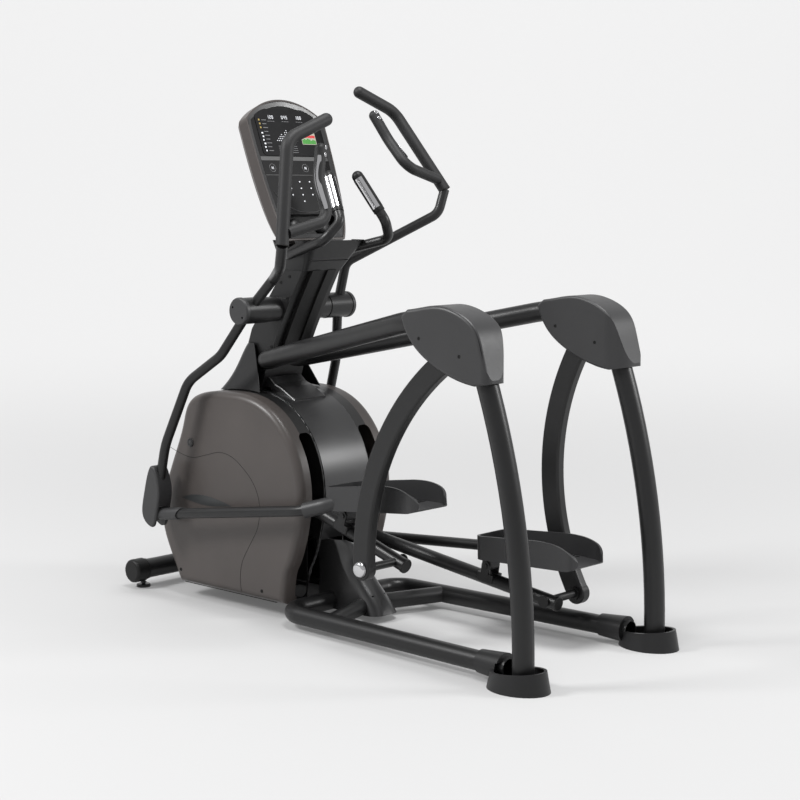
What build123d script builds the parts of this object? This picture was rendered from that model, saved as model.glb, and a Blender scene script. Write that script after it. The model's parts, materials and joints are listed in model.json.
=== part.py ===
from build123d import *
import math
import os

# Elliptical trainer with hanging swing arms, in millimetres.
# +X points to the user's rear end, -Y is the user's left side, +Z is up.
# The origin is on the floor, under the middle of the machine's bounding box.

# ------------------------------------------------------------------ linkage
TOP_PIVOT = Vector(620, 0, 925)         # swing arm pivot in the corner cover
ARM_LENGTH = 793                        # top pivot to lower pivot
ARM_FORWARD = 30.0                      # arm angle from vertical, foremost
STRIDE = 28.5                           # travel of a swing arm, degrees
LINK_LENGTH = 875                       # lower pivot to crank pin
LINK_STEEP = 17.95                      # main link pitch, foremost
LINK_FLAT = 7.85                        # main link pitch, rearmost
PEDAL_PIVOT_ALONG = 235                 # pedal pivot, measured along the main link
PEDAL_PIVOT_UP = 45                     # and above its axis
PEDAL_STEEP = 5.5                       # pedal pitch, foremost
PEDAL_FLAT = 1.95                       # pedal pitch, rearmost
PEDAL_REACH = 755                       # pedal pivot to handlebar joint
BAR_PIVOT = Vector(-357, 0, 974)        # handlebar pivot on the mast
BAR_JOINT = Vector(-381.7, -280, -694.5)  # lower joint, from the handlebar pivot
BAR_SWING = 26.95                       # travel of a handlebar, degrees
CRANK_CENTRE = Vector(-438, 0, 379)
CRANK_RADIUS = 215
CRANK_ANGLE = 142.3                     # left crank pin, degrees up from +X
FLYWHEEL_CENTRE = Vector(-655, 0, 300)

PLATE_INNER = 61                        # the chassis plates that hold the drive
PLATE_OUTER = 66
CRANK_BEARING = 30                      # outer radius
WHEEL_BEARING = 15

# ------------------------------------------------------------------ stations
ARM_Y = -275
LINK_Y = -130
PEDAL_Y = -145
RAIL_Y = -310                           # uprights and top tubes

# ------------------------------------------------------------------ sections
WALL = 2.5                              # steel tube wall
FRAME_TUBE = 31                         # radius of uprights and top tubes
BASE_TUBE = 29
CROSS_TUBE = 26
LINK_TUBE = 21
BAR_TUBE = 16
GRIP_TUBE = 19.5
PEDAL_TUBE = 17
ARM_DEPTH = 66
ARM_WIDTH = 36
SHAFT = 12.5                            # radius of the pivot shafts
FIT = 0.05                              # running clearance on a radius
SHELL = 3.0                             # plastic wall

SIDES = (("left", -1), ("right", 1))
PARTS = {}


# ------------------------------------------------------------------ helpers
def add(name, *shapes):
    """Keep the solids of one named sub-part."""
    solids = [solid for shape in shapes for solid in shape.solids()]
    PARTS[name] = solids[0] if len(solids) == 1 else Compound(children=solids)


def on_side(shape, side):
    """Shapes are drawn for the left side; the right side is the mirror image."""
    return shape if side < 0 else mirror(shape, about=Plane.XZ)


def turned(shape, pivot, degrees):
    """Turn a shape about the Y axis and carry it to its pivot."""
    return Location((pivot.X, 0, pivot.Z), (0, degrees, 0)) * shape


def polar(degrees, length, up=0.0):
    """A step forward (-X) and up, pitched by an angle, plus a step square to it."""
    a = math.radians(degrees)
    x = -length * math.cos(a) + up * math.sin(a)
    z = length * math.sin(a) + up * math.cos(a)
    return Vector(x, 0, z)


def pin(x, z, y_from, y_to, radius):
    """A round bar across the machine, along Y."""
    plane = Plane(origin=(x, y_from, z), z_dir=(0, 1, 0))
    return extrude(plane * Circle(radius), amount=y_to - y_from)


def plate(points, y_from, y_to):
    """A flat plate standing in the XZ plane."""
    outline = make_face(Polyline(*[(x, y_from, z) for x, z in points], close=True))
    return extrude(outline, amount=y_to - y_from, dir=(0, 1, 0))


def block(x_from, x_to, y_from, y_to, z_from, z_to):
    """A box given by its faces."""
    size = (x_to - x_from, y_to - y_from, z_to - z_from)
    centre = ((x_from + x_to) / 2, (y_from + y_to) / 2, (z_from + z_to) / 2)
    return Location(centre) * Box(*size)


def route(points, bends):
    """Straight runs joined by tangent arcs, one bend radius for each corner."""
    if len(points) == 2:
        return Line(*points)
    return FilletPolyline(*points, radius=bends)


def rod(path, radius, bore=0.0):
    """A round section carried along a path; a bore makes it a tube."""
    start = Plane(origin=path @ 0, z_dir=path % 0)
    ring = start * Circle(radius)
    if bore > 0:
        ring = start * (Circle(radius) - Circle(bore))
    return sweep(ring, path=path)


def stride_of(side):
    """0 at the foremost end of the stride and 1 at the rearmost end."""
    return 0.0 if side < 0 else 1.0


def arm_angle(side):
    return ARM_FORWARD - STRIDE * stride_of(side)


def link_pitch(side):
    return LINK_STEEP + (LINK_FLAT - LINK_STEEP) * stride_of(side)


def pedal_pitch(side):
    return PEDAL_STEEP + (PEDAL_FLAT - PEDAL_STEEP) * stride_of(side)


def lower_pivot(side):
    a = math.radians(arm_angle(side))
    return TOP_PIVOT + Vector(-math.sin(a), 0, -math.cos(a)) * ARM_LENGTH


def pedal_pivot(side):
    return lower_pivot(side) + polar(link_pitch(side), PEDAL_PIVOT_ALONG, PEDAL_PIVOT_UP)


# ------------------------------------------------------------------ base frame
FRONT_X = -896
FRONT_Z = 60
FRONT_HALF = 215
FRONT_TUBE = 33
FRONT_RING = 35.5
FRONT_CAP = 40
FOOT_Y = -212
SPINE = (-864, 20)                      # spine beam from the front tube to the tail
RAIL_FRONT_X = -142
RAIL_CORNER = (-142, -258)
RAIL_END = (790, -285.5)
RAIL_Z = 45
TAIL_JOINT = (-22, -12)
CROSS_END = (64, -264)
BOOT_X = 840


def front_stabilizer():
    """Round tube across the front, with a ring beside each cap."""
    tube = pin(FRONT_X, FRONT_Z, -FRONT_HALF, FRONT_HALF, FRONT_TUBE)
    for side in (-1, 1):
        tube += pin(FRONT_X, FRONT_Z, side * 205 - 4, side * 205 + 4, FRONT_RING)
    tube -= pin(FRONT_X, FRONT_Z, -FRONT_HALF, FRONT_HALF, FRONT_TUBE - WALL)
    add("front_stabilizer", tube)


def stabilizer_caps():
    """Thick moulded caps on both ends of the front tube."""
    caps = []
    for _, side in SIDES:
        cap = pin(FRONT_X, FRONT_Z, -264, -FRONT_HALF, FRONT_CAP)
        cap = fillet(cap.edges().group_by(Axis.Y)[0], 10)
        cap = fillet(cap.edges().group_by(Axis.Y)[-1], 2)
        caps.append(on_side(cap, side))
    add("stabilizer_caps", *caps)


def levelling_feet():
    """Screw feet under the ends of the front tube."""
    feet = []
    for _, side in SIDES:
        pad = Location((FRONT_X, FOOT_Y, 5)) * Cylinder(24, 10)
        pad = fillet(pad.edges().group_by(Axis.Z)[-1], 4)
        stem = Location((FRONT_X, FOOT_Y, 18)) * Cylinder(6, 18)
        nut = Location((FRONT_X, FOOT_Y, 13)) * extrude(RegularPolygon(10, 6), 5)
        foot = pad + stem + nut
        foot -= pin(FRONT_X, FRONT_Z, -264, -FRONT_HALF, FRONT_CAP)
        foot -= pin(FRONT_X, FRONT_Z, -FRONT_HALF, -190, FRONT_RING)
        feet.append(on_side(foot, side))
    add("levelling_feet", *feet)


def rail_path():
    """Centre line of a base rail: in to the spine in front, and back to the boot."""
    corner = (RAIL_CORNER[0], RAIL_CORNER[1], RAIL_Z)
    return route([(RAIL_FRONT_X, -32, RAIL_Z), corner, (RAIL_END[0], RAIL_END[1], RAIL_Z)], [75])


def base_rail(name, side):
    """Low side tube: straight to the rear boot, and turned in to the spine in front."""
    add(name + "_base_rail", on_side(rod(rail_path(), BASE_TUBE, BASE_TUBE - WALL), side))


def cross_path():
    """Centre line of a rear cross tube, from the spine out to the base rail."""
    return Line((TAIL_JOINT[0], TAIL_JOINT[1], RAIL_Z), (CROSS_END[0], CROSS_END[1], RAIL_Z))


def chassis():
    """Spine beam, rear cross tubes and the two plates that hold the drive."""
    body = block(SPINE[0], SPINE[1], -30, 30, 20, 80) - block(SPINE[0], SPINE[1], -27, 27, 23, 77)
    body -= pin(FRONT_X, FRONT_Z, -60, 60, FRONT_TUBE)
    cx, cz = CRANK_CENTRE.X, CRANK_CENTRE.Z
    fx, fz = FLYWHEEL_CENTRE.X, FLYWHEEL_CENTRE.Z
    outline = [
        (fx - 60, 80), (cx + 150, 80), (cx + 110, 160), (cx + 60, cz), (cx + 62, 560), (-405, 700),
        (-505, 700), (cx - 70, 560), (fx + 60, fz + 150), (fx - 45, fz + 150), (fx - 70, 180),
    ]
    for _, side in SIDES:
        tube = rod(cross_path(), CROSS_TUBE, CROSS_TUBE - WALL)
        tube -= rod(rail_path(), BASE_TUBE)
        sheet = plate(outline, -PLATE_OUTER, -PLATE_INNER)
        sheet -= pin(cx, cz, -70, -50, CRANK_BEARING)
        sheet -= pin(fx, fz, -70, -50, WHEEL_BEARING)
        shelf = block(fx - 60, cx + 150, -PLATE_OUTER, -30, 74, 80)
        body += on_side(tube, side) + on_side(shelf, side) + on_side(sheet, side)
    body += block(-505, -405, -PLATE_INNER, PLATE_INNER, 690, 700)
    add("chassis", body)


def rear_boots():
    """Oval cups around the feet of the uprights, with a collar over the base rail."""
    for name, side in SIDES:
        y = RAIL_Y + 2
        outline = Plane.XY * Location((BOOT_X, y)) * Ellipse(97, 74)
        top = Plane.XY.offset(62) * Location((BOOT_X + 2, y)) * Ellipse(84, 62)
        cup = loft([outline, top])
        inner_low = Plane.XY.offset(14) * Location((BOOT_X, y)) * Ellipse(80, 58)
        inner_top = Plane.XY.offset(63) * Location((BOOT_X + 2, y)) * Ellipse(76, 54)
        hollow = loft([inner_low, inner_top])
        cup -= hollow
        slope = [(700, 40), (790, 46), (960, 66), (960, 120), (700, 120)]
        cup -= plate(slope, y - 90, y + 90)
        start = Plane(origin=(686, -282.4, RAIL_Z + 1), z_dir=(1, -0.03, 0))
        collar = loft([start * Circle(34), start.offset(90) * Ellipse(43, 40)])
        collar -= block(600, 1000, -400, -200, -20, 0)
        cup += collar - hollow
        cup -= rod(rail_path(), BASE_TUBE)
        cup -= Location((BOOT_X + 19, RAIL_Y, 60)) * Cylinder(FRAME_TUBE, 92)
        add(name + "_boot", on_side(cup, side))


# ------------------------------------------------------------------ rear arches
COVER_Y = (-363, -250)                  # outer and inner face of a corner cover
COVER_BACK = 768
COVER_ROUND_OUT = 26                    # plan radii at the rear, outside and inside
COVER_ROUND_IN = 68
COVER_SLOT = 22                         # half width of the swing arm's slot
COVER_SCREWS = ((668, 905), (520, 946))
SCREW_HEAD = 5.5
UPRIGHT_FOOT = (858, 16)
UPRIGHT_BEND = (858, 60)
UPRIGHT_TOP = (729, 817)
ARCH_CORNER = (672, 1003)
RAIL_TURN = (430, 985)
MAST_TURN = (-414, -84, 803)
ARCH_END = (-430, -8, 800)


def arch_path():
    """Upright from the boot, round the corner, and along the top tube to the mast."""
    y = RAIL_Y
    foot = Line((UPRIGHT_FOOT[0], y, UPRIGHT_FOOT[1]), (UPRIGHT_BEND[0], y, UPRIGHT_BEND[1]))
    top = (UPRIGHT_TOP[0], y, UPRIGHT_TOP[1])
    bow = TangentArc(foot @ 1, top, tangent=(0, 0, 1))
    corner = Vector(ARCH_CORNER[0], y, ARCH_CORNER[1])
    points = [
        bow @ 1,
        (bow @ 1) + (bow % 1) * (corner - (bow @ 1)).length,
        (RAIL_TURN[0], y, RAIL_TURN[1]),
        MAST_TURN,
        ARCH_END,
    ]
    upper = route(points, [85, 260, 62])
    return Wire([foot, bow] + list(upper.edges()))


def arch_tubes():
    """Rear arch tubes, each with a gusset that carries the swing arm pivot."""
    for name, side in SIDES:
        path = arch_path()
        tube = rod(path, FRAME_TUBE, FRAME_TUBE - WALL)
        px, pz = TOP_PIVOT.X, TOP_PIVOT.Z
        web = [(px - 28, pz - 4), (px - 20, pz - 24), (px + 20, pz - 24), (px + 95, pz - 10),
               (px + 85, pz + 55), (px - 28, pz + 62)]
        gusset = plate(web, RAIL_Y - 5, RAIL_Y + 5) - pin(px, pz, RAIL_Y - 6, RAIL_Y + 6, SHAFT)
        gusset -= rod(path, FRAME_TUBE)
        add(name + "_arch_tube", on_side(tube + gusset, side))


def corner_covers():
    """Moulded covers over the bend of each arch and the swing arm pivot."""
    outer, inner = COVER_Y
    for name, side in SIDES:
        solid = cover_solid(outer, inner, 0)
        solid = fillet(solid.edges().filter_by(lambda e: abs(e.center().Y - outer) < 1), 11)
        solid = fillet(solid.edges().filter_by(lambda e: abs(e.center().Y - inner) < 1), 8)
        solid &= cover_plan(0)
        shell = solid - (cover_solid(outer + SHELL, inner - SHELL, SHELL) & cover_plan(SHELL))
        shell -= rod(arch_path(), FRAME_TUBE + 0.4)
        mouth = [(470, 780), (476, 930), (540, 868), (633, 822), (690, 806), (690, 780)]
        shell -= plate(mouth, ARM_Y - COVER_SLOT, ARM_Y + COVER_SLOT)
        shell -= cover_slot()
        for x, z in COVER_SCREWS:
            shell -= pin(x, z, outer - 1, outer + 2.2, SCREW_HEAD)
            shell -= pin(x, z, inner - 2.2, inner + 1, SCREW_HEAD)
        add(name + "_corner_cover", on_side(shell, side))


def cover_solid(y_from, y_to, inset):
    """The cover's outline, a leaf with a rounded rear shoulder, as a solid."""
    tip = (448 + 2 * inset, 1006)
    nose = (470 + inset, 1024 - inset)
    crown = (600, 1039 - inset)
    shoulder = (702 - 0.7 * inset, 1002 - 0.7 * inset)
    back = (771 - inset, 835 + inset)
    heel = (716, 826 + inset)
    tip, nose, crown, shoulder, back, heel = [
        (p[0], y_from, p[1]) for p in (tip, nose, crown, shoulder, back, heel)]
    top = Spline(nose, crown, shoulder, back, tangents=[(1, 0, 0.12), (0.32, 0, -1)])
    low = Spline(heel, (560, y_from, 876 + inset), tip, tangents=[(-1, 0, 0.1), (-0.25, 0, 1)])
    face = make_face(Wire([Line(tip, nose), top, Line(back, heel), low]))
    leaf = extrude(face, amount=y_to - y_from, dir=(0, 1, 0))
    return fillet(leaf.edges().filter_by(Axis.Y), 9 - inset)


def cover_plan(inset):
    """The cover seen from above: square in front, round behind where it hugs the tube."""
    outer, inner = COVER_Y[0] + inset, COVER_Y[1] - inset
    back = COVER_BACK - inset
    sheet = make_face(Polyline((400, outer), (back, outer), (back, inner), (400, inner), close=True))
    rear = sheet.vertices().group_by(Axis.X)[-1].sort_by(Axis.Y)
    sheet = fillet(rear[0], COVER_ROUND_OUT - inset)
    rear = sheet.vertices().filter_by(lambda v: abs(v.Y - inner) < 1 and abs(v.X - back) < 1)
    sheet = fillet(rear, COVER_ROUND_IN - inset)
    return extrude(Plane.XY.offset(780) * sheet, amount=300)


def cover_slot():
    """Room for the swing arm over its whole travel, below its hub."""
    px, pz = TOP_PIVOT.X, TOP_PIVOT.Z
    swept = pin(px, pz, ARM_Y - COVER_SLOT, ARM_Y + COVER_SLOT, 200)
    fore = ARM_FORWARD + 56
    aft = ARM_FORWARD - STRIDE - 26
    wedge = [(px, pz + 20)]
    for degrees in (fore, (fore + aft) / 2, aft):
        a = math.radians(degrees)
        wedge.append((px - 260 * math.sin(a), pz - 260 * math.cos(a)))
    return swept & plate(wedge, ARM_Y - COVER_SLOT, ARM_Y + COVER_SLOT)


def swing_pivot_shafts():
    """Fixed shafts through the gussets, with a collar on the inner end."""
    shafts = []
    for _, side in SIDES:
        px, pz = TOP_PIVOT.X, TOP_PIVOT.Z
        shaft = pin(px, pz, RAIL_Y - 12, ARM_Y + 20, SHAFT)
        shaft += pin(px, pz, ARM_Y + 18.4, ARM_Y + 21.6, 19)
        shaft += pin(px, pz, RAIL_Y - 14, RAIL_Y - 5, 19)
        shafts.append(on_side(shaft, side))
    add("swing_pivot_shafts", *shafts)


# ------------------------------------------------------------------ swing arms
ARM_BOW = 113
ARM_HALF = ARM_WIDTH / 2


def swing_arms():
    """Flat bowed bars that hang from the corner covers."""
    for name, side in SIDES:
        bow = ThreePointArc((0, ARM_Y, 0), (-ARM_BOW, ARM_Y, -ARM_LENGTH / 2), (0, ARM_Y, -ARM_LENGTH))
        start = Plane(origin=bow @ 0, x_dir=(0, 1, 0), z_dir=bow % 0)
        bar = sweep(start * RectangleRounded(ARM_WIDTH, ARM_DEPTH, 8), path=bow)
        hub = pin(0, 0, ARM_Y - ARM_HALF, ARM_Y + ARM_HALF, 36)
        foot = pin(0, -ARM_LENGTH, ARM_Y - ARM_HALF, ARM_Y + ARM_HALF, 34)
        foot = fillet(foot.edges().filter_by(GeomType.CIRCLE), 6)
        eye = pin(0, -ARM_LENGTH, ARM_Y - 30, ARM_Y + 30, SHAFT + FIT)
        arm = hub + (bar - eye) + (foot - eye)
        arm -= pin(0, 0, ARM_Y - 30, ARM_Y + 30, SHAFT + FIT)
        add(name + "_swing_arm", turned(on_side(arm, side), TOP_PIVOT, arm_angle(side)))

        shaft = pin(0, 0, ARM_Y - ARM_HALF, LINK_Y + 26, SHAFT)
        dome = pin(0, 0, ARM_Y - ARM_HALF - 12, ARM_Y - ARM_HALF, 24)
        dome = fillet(dome.edges().group_by(Axis.Y)[0], 11)
        collar = pin(0, 0, ARM_Y + ARM_HALF, ARM_Y + ARM_HALF + 7, 19)
        washer = pin(0, 0, LINK_Y + 23.5, LINK_Y + 27, 19)
        knuckle = shaft + dome + collar + washer
        add(name + "_lower_shaft", turned(on_side(knuckle, side), lower_pivot(side), arm_angle(side)))


def main_links():
    """Tubes from the lower shafts to the crank pins, with the pedal bracket on top."""
    for name, side in SIDES:
        y = LINK_Y
        path = Line((30, y, 0), (-LINK_LENGTH + 28, y, 0))
        link = rod(path, LINK_TUBE)
        link += pin(-LINK_LENGTH, 0, y - 20, y + 20, 31)
        cap = rod(Line((28, y, 0), (39, y, 0)), LINK_TUBE + 2)
        link += fillet(cap.edges().group_by(Axis.X)[-1], 4)
        saddle = block(-PEDAL_PIVOT_ALONG - 30, -PEDAL_PIVOT_ALONG + 30, y - 26, y + 26, -6, 20)
        link += fillet(saddle.edges().filter_by(Axis.Z), 6)
        for lug_y in (y - 26, y + 21):
            lug = block(-PEDAL_PIVOT_ALONG - 15, -PEDAL_PIVOT_ALONG + 15, lug_y, lug_y + 5, 18, 45)
            lug += pin(-PEDAL_PIVOT_ALONG, PEDAL_PIVOT_UP, lug_y, lug_y + 5, 15)
            link += lug
        link -= pin(-LINK_LENGTH, 0, y - 30, y + 30, 14)
        link -= pin(0, 0, y - 30, y + 30, SHAFT + FIT)
        link += pin(-PEDAL_PIVOT_ALONG, PEDAL_PIVOT_UP, y - 29, y + 29, 8)
        add(name + "_main_link", turned(on_side(link, side), lower_pivot(side), link_pitch(side)))


# ------------------------------------------------------------------ pedals
PEDAL_FRONT = -14
PEDAL_BACK = 374
PEDAL_HALF = 81
PEDAL_BASE = 26                         # tray underside above the pedal pivot
PEDAL_WALL = 76                         # height of the tray's front and side walls
PEDAL_BEND = (-75, -262, 28)


def tray_side(inset):
    """Side outline of the tray: high walls that fall to a low heel."""
    z0 = PEDAL_BASE + inset
    front = PEDAL_FRONT + inset
    low = Line((front, 0, z0), (PEDAL_BACK - 40, 0, z0))
    heel = Spline((PEDAL_BACK - 40, 0, z0), (PEDAL_BACK, 0, z0 + 20), tangents=[(1, 0, 0), (0.5, 0, 1)])
    fall = Spline((PEDAL_BACK, 0, z0 + 20), (PEDAL_BACK - 150, 0, PEDAL_BASE + PEDAL_WALL + 5),
                  tangents=[(-0.35, 0, 1), (-1, 0, 0)])
    top = Line(fall @ 1, (front, 0, PEDAL_BASE + PEDAL_WALL - 4))
    close = Line(top @ 1, low @ 0)
    face = make_face(Wire([low, heel, fall, top, close]))
    return extrude(face, amount=120, dir=(0, -1, 0), both=True)


def tray_plan(inset):
    """The tray seen from above, with a rounder heel."""
    length = PEDAL_BACK - PEDAL_FRONT - 2 * inset
    centre = (PEDAL_BACK + PEDAL_FRONT) / 2
    plan = Location((centre, 0)) * RectangleRounded(length, 2 * (PEDAL_HALF - inset), 34)
    return extrude(Plane.XY.offset(-20) * plan, amount=200)


def pedal_trays():
    """Foot trays with a lug for the pivot pin and a socket for the pedal tube."""
    wall = 6
    for name, side in SIDES:
        outer = tray_side(0) & tray_plan(0)
        floor_z = PEDAL_BASE + 17
        cavity = tray_plan(wall) & block(PEDAL_FRONT, PEDAL_BACK - 90, -120, 120, floor_z, 300)
        ramp = plate([(PEDAL_BACK - 92, floor_z), (PEDAL_BACK + 40, floor_z - 12),
                      (PEDAL_BACK + 40, 300), (PEDAL_BACK - 92, 300)], -120, 120)
        cavity += tray_plan(wall) & ramp
        cavity += ramp & block(PEDAL_BACK - 60, PEDAL_BACK + 20, -60, 60, 0, 300)
        tray = outer - cavity
        for step in range(14):
            x = 26 + 19 * step
            tray += block(x, x + 6, -PEDAL_HALF + 12, PEDAL_HALF - 12, floor_z - 1, floor_z + 2.5)
        tray = Location((0, PEDAL_Y, 0)) * tray
        lug = block(-17, 17, LINK_Y - 20, LINK_Y + 20, 0, PEDAL_BASE + 2) + pin(0, 0, LINK_Y - 20, LINK_Y + 20, 16)
        tray += lug
        socket = rod(route([(-62, -256, 29), (0, -226, 42), (34, -200, 50)], [60]), PEDAL_TUBE + 7)
        socket &= block(-200, 80, -400, PEDAL_Y - PEDAL_HALF + 8, -100, 200)
        tray += socket
        tray -= pin(0, 0, LINK_Y - 40, LINK_Y + 40, 8 + FIT)
        tray -= rod(pedal_tube_path(), PEDAL_TUBE)
        add(name + "_pedal_tray", turned(on_side(tray, side), pedal_pivot(side), -pedal_pitch(side)))
        add(name + "_pedal_tube", turned(on_side(pedal_tube(), side), pedal_pivot(side), -pedal_pitch(side)))


def pedal_tube_path():
    """From the handlebar joint, back along the housing and in to the tray's side."""
    return route([(-PEDAL_REACH + 16, BAR_JOINT.Y, 1), PEDAL_BEND, (14, -219, 44)], [150])


def pedal_tube():
    """Round tube with a bearing eye at its front end."""
    eye = pin(-PEDAL_REACH, 0, BAR_JOINT.Y - 17, BAR_JOINT.Y + 17, 21)
    tube = rod(pedal_tube_path(), PEDAL_TUBE) + eye
    return tube - pin(-PEDAL_REACH, 0, BAR_JOINT.Y - 20, BAR_JOINT.Y + 20, 12)


# ------------------------------------------------------------------ moving handlebars
BAR_HUB_Y = (-196, -134)                # hub between the mast housing and the end cap
BAR_LOW = [(-376, -280, -655), (-327, -280, -455), (-235, -256, -240), (-112, -222, -150)]
BAR_HIGH = [(108, -190, 106), (369, -410, 152), (408, -437, 220)]
GRIP_POINTS = [(408, -437, 220), (371, -377, 527), (382, -229, 588)]
BRANCH_POINTS = [(411, -418, 256), (430, -268, 292), (392, -272, 409), (385, -256, 501)]


def bar_path():
    """Lower run, past the hub, out and up to the foot of the grip."""
    hub = (0, -199, 0)
    points = BAR_LOW + [hub] + BAR_HIGH
    return route(points, [320, 110, 120, 200, 45, 55])


def handlebars():
    """Moving handlebars: a bent tube on a hub, foam grips and the joint shell."""
    for name, side in SIDES:
        turn = -BAR_SWING * stride_of(side)
        tube = rod(bar_path(), BAR_TUBE)
        hub = pin(0, 0, -232, BAR_HUB_Y[1], 42)
        hub = fillet(hub.edges().group_by(Axis.Y)[0], 3)
        bar = (tube + hub) - pin(0, 0, -240, 0, SHAFT + FIT)
        add(name + "_handlebar", turned(on_side(bar, side), BAR_PIVOT, turn))

        grip_path = route(GRIP_POINTS, [62])
        grip = rod(grip_path, GRIP_TUBE)
        tip = Location(grip_path @ 1) * Sphere(GRIP_TUBE)
        branch_path = route(BRANCH_POINTS, [48, 130])
        branch = rod(branch_path, GRIP_TUBE - 2)
        pod = Location(branch_path @ 1) * Sphere(GRIP_TUBE - 2)
        foam = grip + tip + branch + pod - rod(bar_path(), BAR_TUBE)
        for step in BUTTON_STEPS.values():
            foam -= button_plane(step, 4.6) * Cylinder(6.8, 6)
        add(name + "_grip", turned(on_side(foam, side), BAR_PIVOT, turn))

        shell = joint_shell()
        shell -= rod(bar_path(), BAR_TUBE)
        add(name + "_joint_shell", turned(on_side(shell, side), BAR_PIVOT, turn))

        cap = pin(0, 0, -247, -232, 43.5)
        cap = fillet(cap.edges().group_by(Axis.Y)[0], 6)
        for x, z in ((-24, 12), (20, -20)):
            cap -= pin(x, z, -250, -241, 4)
        add(name + "_hub_cap", turned(on_side(cap, side), BAR_PIVOT, turn))


def joint_shell():
    """Teardrop fork that joins the handlebar to the eye of the pedal tube."""
    x, z = BAR_JOINT.X, BAR_JOINT.Z
    y = BAR_JOINT.Y
    outline = make_face(Spline(
        (x, 0, z - 37), (x - 36, 0, z - 8), (x - 30, 0, z + 70), (x + 16, 0, z + 168),
        (x + 46, 0, z + 110), (x + 34, 0, z + 8), periodic=True))
    body = Location((0, y - 29, 0)) * extrude(outline, amount=58, dir=(0, 1, 0))
    body = fillet(body.edges().filter_by(lambda e: abs(e.center().Y - y + 29) < 1), 7)
    body -= block(x - 80, x + 120, y - 19, y + 19, z - 80, z + 34)
    return body + pin(x, z, y - 24, y + 24, 9)


BUTTON_STEPS = {"upper": 4, "lower": -18}  # places along the end of a grip branch


def button_plane(step, sunk=0.0):
    """Plane on the pod's face, looking out of it, sunk below the surface by an amount."""
    end = Vector(*BRANCH_POINTS[-1])
    along = (end - Vector(*BRANCH_POINTS[-2])).normalized()
    facing = Vector(1, 0.35, 0.35)
    facing = (facing - along * facing.dot(along)).normalized()
    return Plane(origin=end + along * step + facing * (GRIP_TUBE - 1.6 - sunk + 1.5), z_dir=facing)


def pod_buttons():
    """Two small press buttons on the end of each grip branch."""
    for name, side in SIDES:
        turn = -BAR_SWING * stride_of(side)
        for label, step in BUTTON_STEPS.items():
            seat = button_plane(step, 1.5)
            button = seat * Cylinder(6.5, 3)
            rim = button.edges().filter_by(GeomType.CIRCLE)
            button = fillet(rim.sort_by(lambda e: -(e.center() - seat.origin).dot(seat.z_dir))[0:1], 1.2)
            add(name + "_" + label + "_button", turned(on_side(button, side), BAR_PIVOT, turn))


# ------------------------------------------------------------------ mast
MAST_REAR = [(-430, 700), (-399, 790), (-341, 907), (-288, 1005), (-232, 1100)]
MAST_FRONT = [(-318, 1100), (-470, 905), (-492, 846), (-520, 700)]
MAST_HALF = 85
MAST_SCREWS = ((-330, 1060), (-300, 1010), (-420, 760), (-378, 850), (-470, 750), (-290, 1080))


def mast_column():
    """Leaning box column with two steel cheeks, from the chassis to the console."""
    outline = MAST_REAR + MAST_FRONT
    body = plate(outline, -MAST_HALF, MAST_HALF)
    inner = [(x + 14, z) for x, z in MAST_FRONT[::-1]]
    outer = [(x - 26, z) for x, z in MAST_REAR[::-1]]
    pocket = plate(inner + outer, -MAST_HALF + 6, MAST_HALF - 6)
    body -= pocket
    body -= rod(arch_path(), FRAME_TUBE)
    body -= mirror(rod(arch_path(), FRAME_TUBE), about=Plane.XZ)
    body -= pin(BAR_PIVOT.X, BAR_PIVOT.Z, -200, 200, 40)
    return body


def mast():
    """Mast column, the channel cover down its rear face and the pivot housing."""
    add("mast_column", mast_column())
    rear = [(x + 1, z) for x, z in MAST_REAR[1:]]
    behind = [(x + 16, z) for x, z in MAST_REAR[1:]][::-1]
    cover = plate(rear + behind, -52, 52)
    deep = [(x + 9, z) for x, z in MAST_REAR[1:]]
    groove = plate(deep + [(x + 30, z) for x, z in MAST_REAR[1:]][::-1], -16, 16)
    cover -= groove
    for _, side in SIDES:
        cover -= on_side(rod(arch_path(), FRAME_TUBE + 0.3), side)
    add("mast_rear_cover", cover)
    x, z = BAR_PIVOT.X, BAR_PIVOT.Z
    housing = pin(x, z, -132, 132, 40) - pin(x, z, -132, 132, SHAFT + 6)
    add("pivot_housing", housing)
    axle = pin(x, z, -231, 231, SHAFT) + pin(x, z, -131.5, -100, SHAFT + 6) + pin(x, z, 100, 131.5, SHAFT + 6)
    add("handlebar_axle", axle)


# ------------------------------------------------------------------ console
CONSOLE_FOOT = Vector(-250, 0, 1196)    # bottom of the face, on the centre line
CONSOLE_LEAN = 20.5                     # from vertical, degrees
CONSOLE_LONG = 478
CONSOLE_HALF = 172


def console_outline(inset):
    """Face outline in the console's own plane: an arched top over a narrow foot."""
    half = CONSOLE_HALF - inset
    top = CONSOLE_LONG - inset
    foot = Line((-half + 46, inset), (half - 46, inset))
    right = Spline((half - 46, inset), (half - 10, 150), (half, CONSOLE_LONG - 70), tangents=[(0.6, 1), (0, 1)])
    arch = ThreePointArc((half, CONSOLE_LONG - 70), (0, top), (-half, CONSOLE_LONG - 70))
    left = Spline((-half, CONSOLE_LONG - 70), (-half + 10, 150), (-half + 46, inset), tangents=[(0, -1), (0.6, -1)])
    outline = make_face(Wire([foot, right, arch, left]))
    corners = [v for v in outline.vertices() if v.Y > CONSOLE_LONG - 80]
    return fillet(corners, 24)


def console_plane():
    """Plane of the console's face: local X across, local Y up the face, Z to the user."""
    a = math.radians(CONSOLE_LEAN)
    return Plane(origin=CONSOLE_FOOT, x_dir=(0, 1, 0), z_dir=(math.cos(a), 0, math.sin(a)))


SCREEN_SIZE = (262, 160, 14)            # width, height and corner radius of the display window
SCREEN_MIDDLE = 366                     # its middle, up the face from the foot
SCREEN_RIM = 16                         # least distance from the rim's outline
SCREEN_GAP = 0.5


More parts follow.
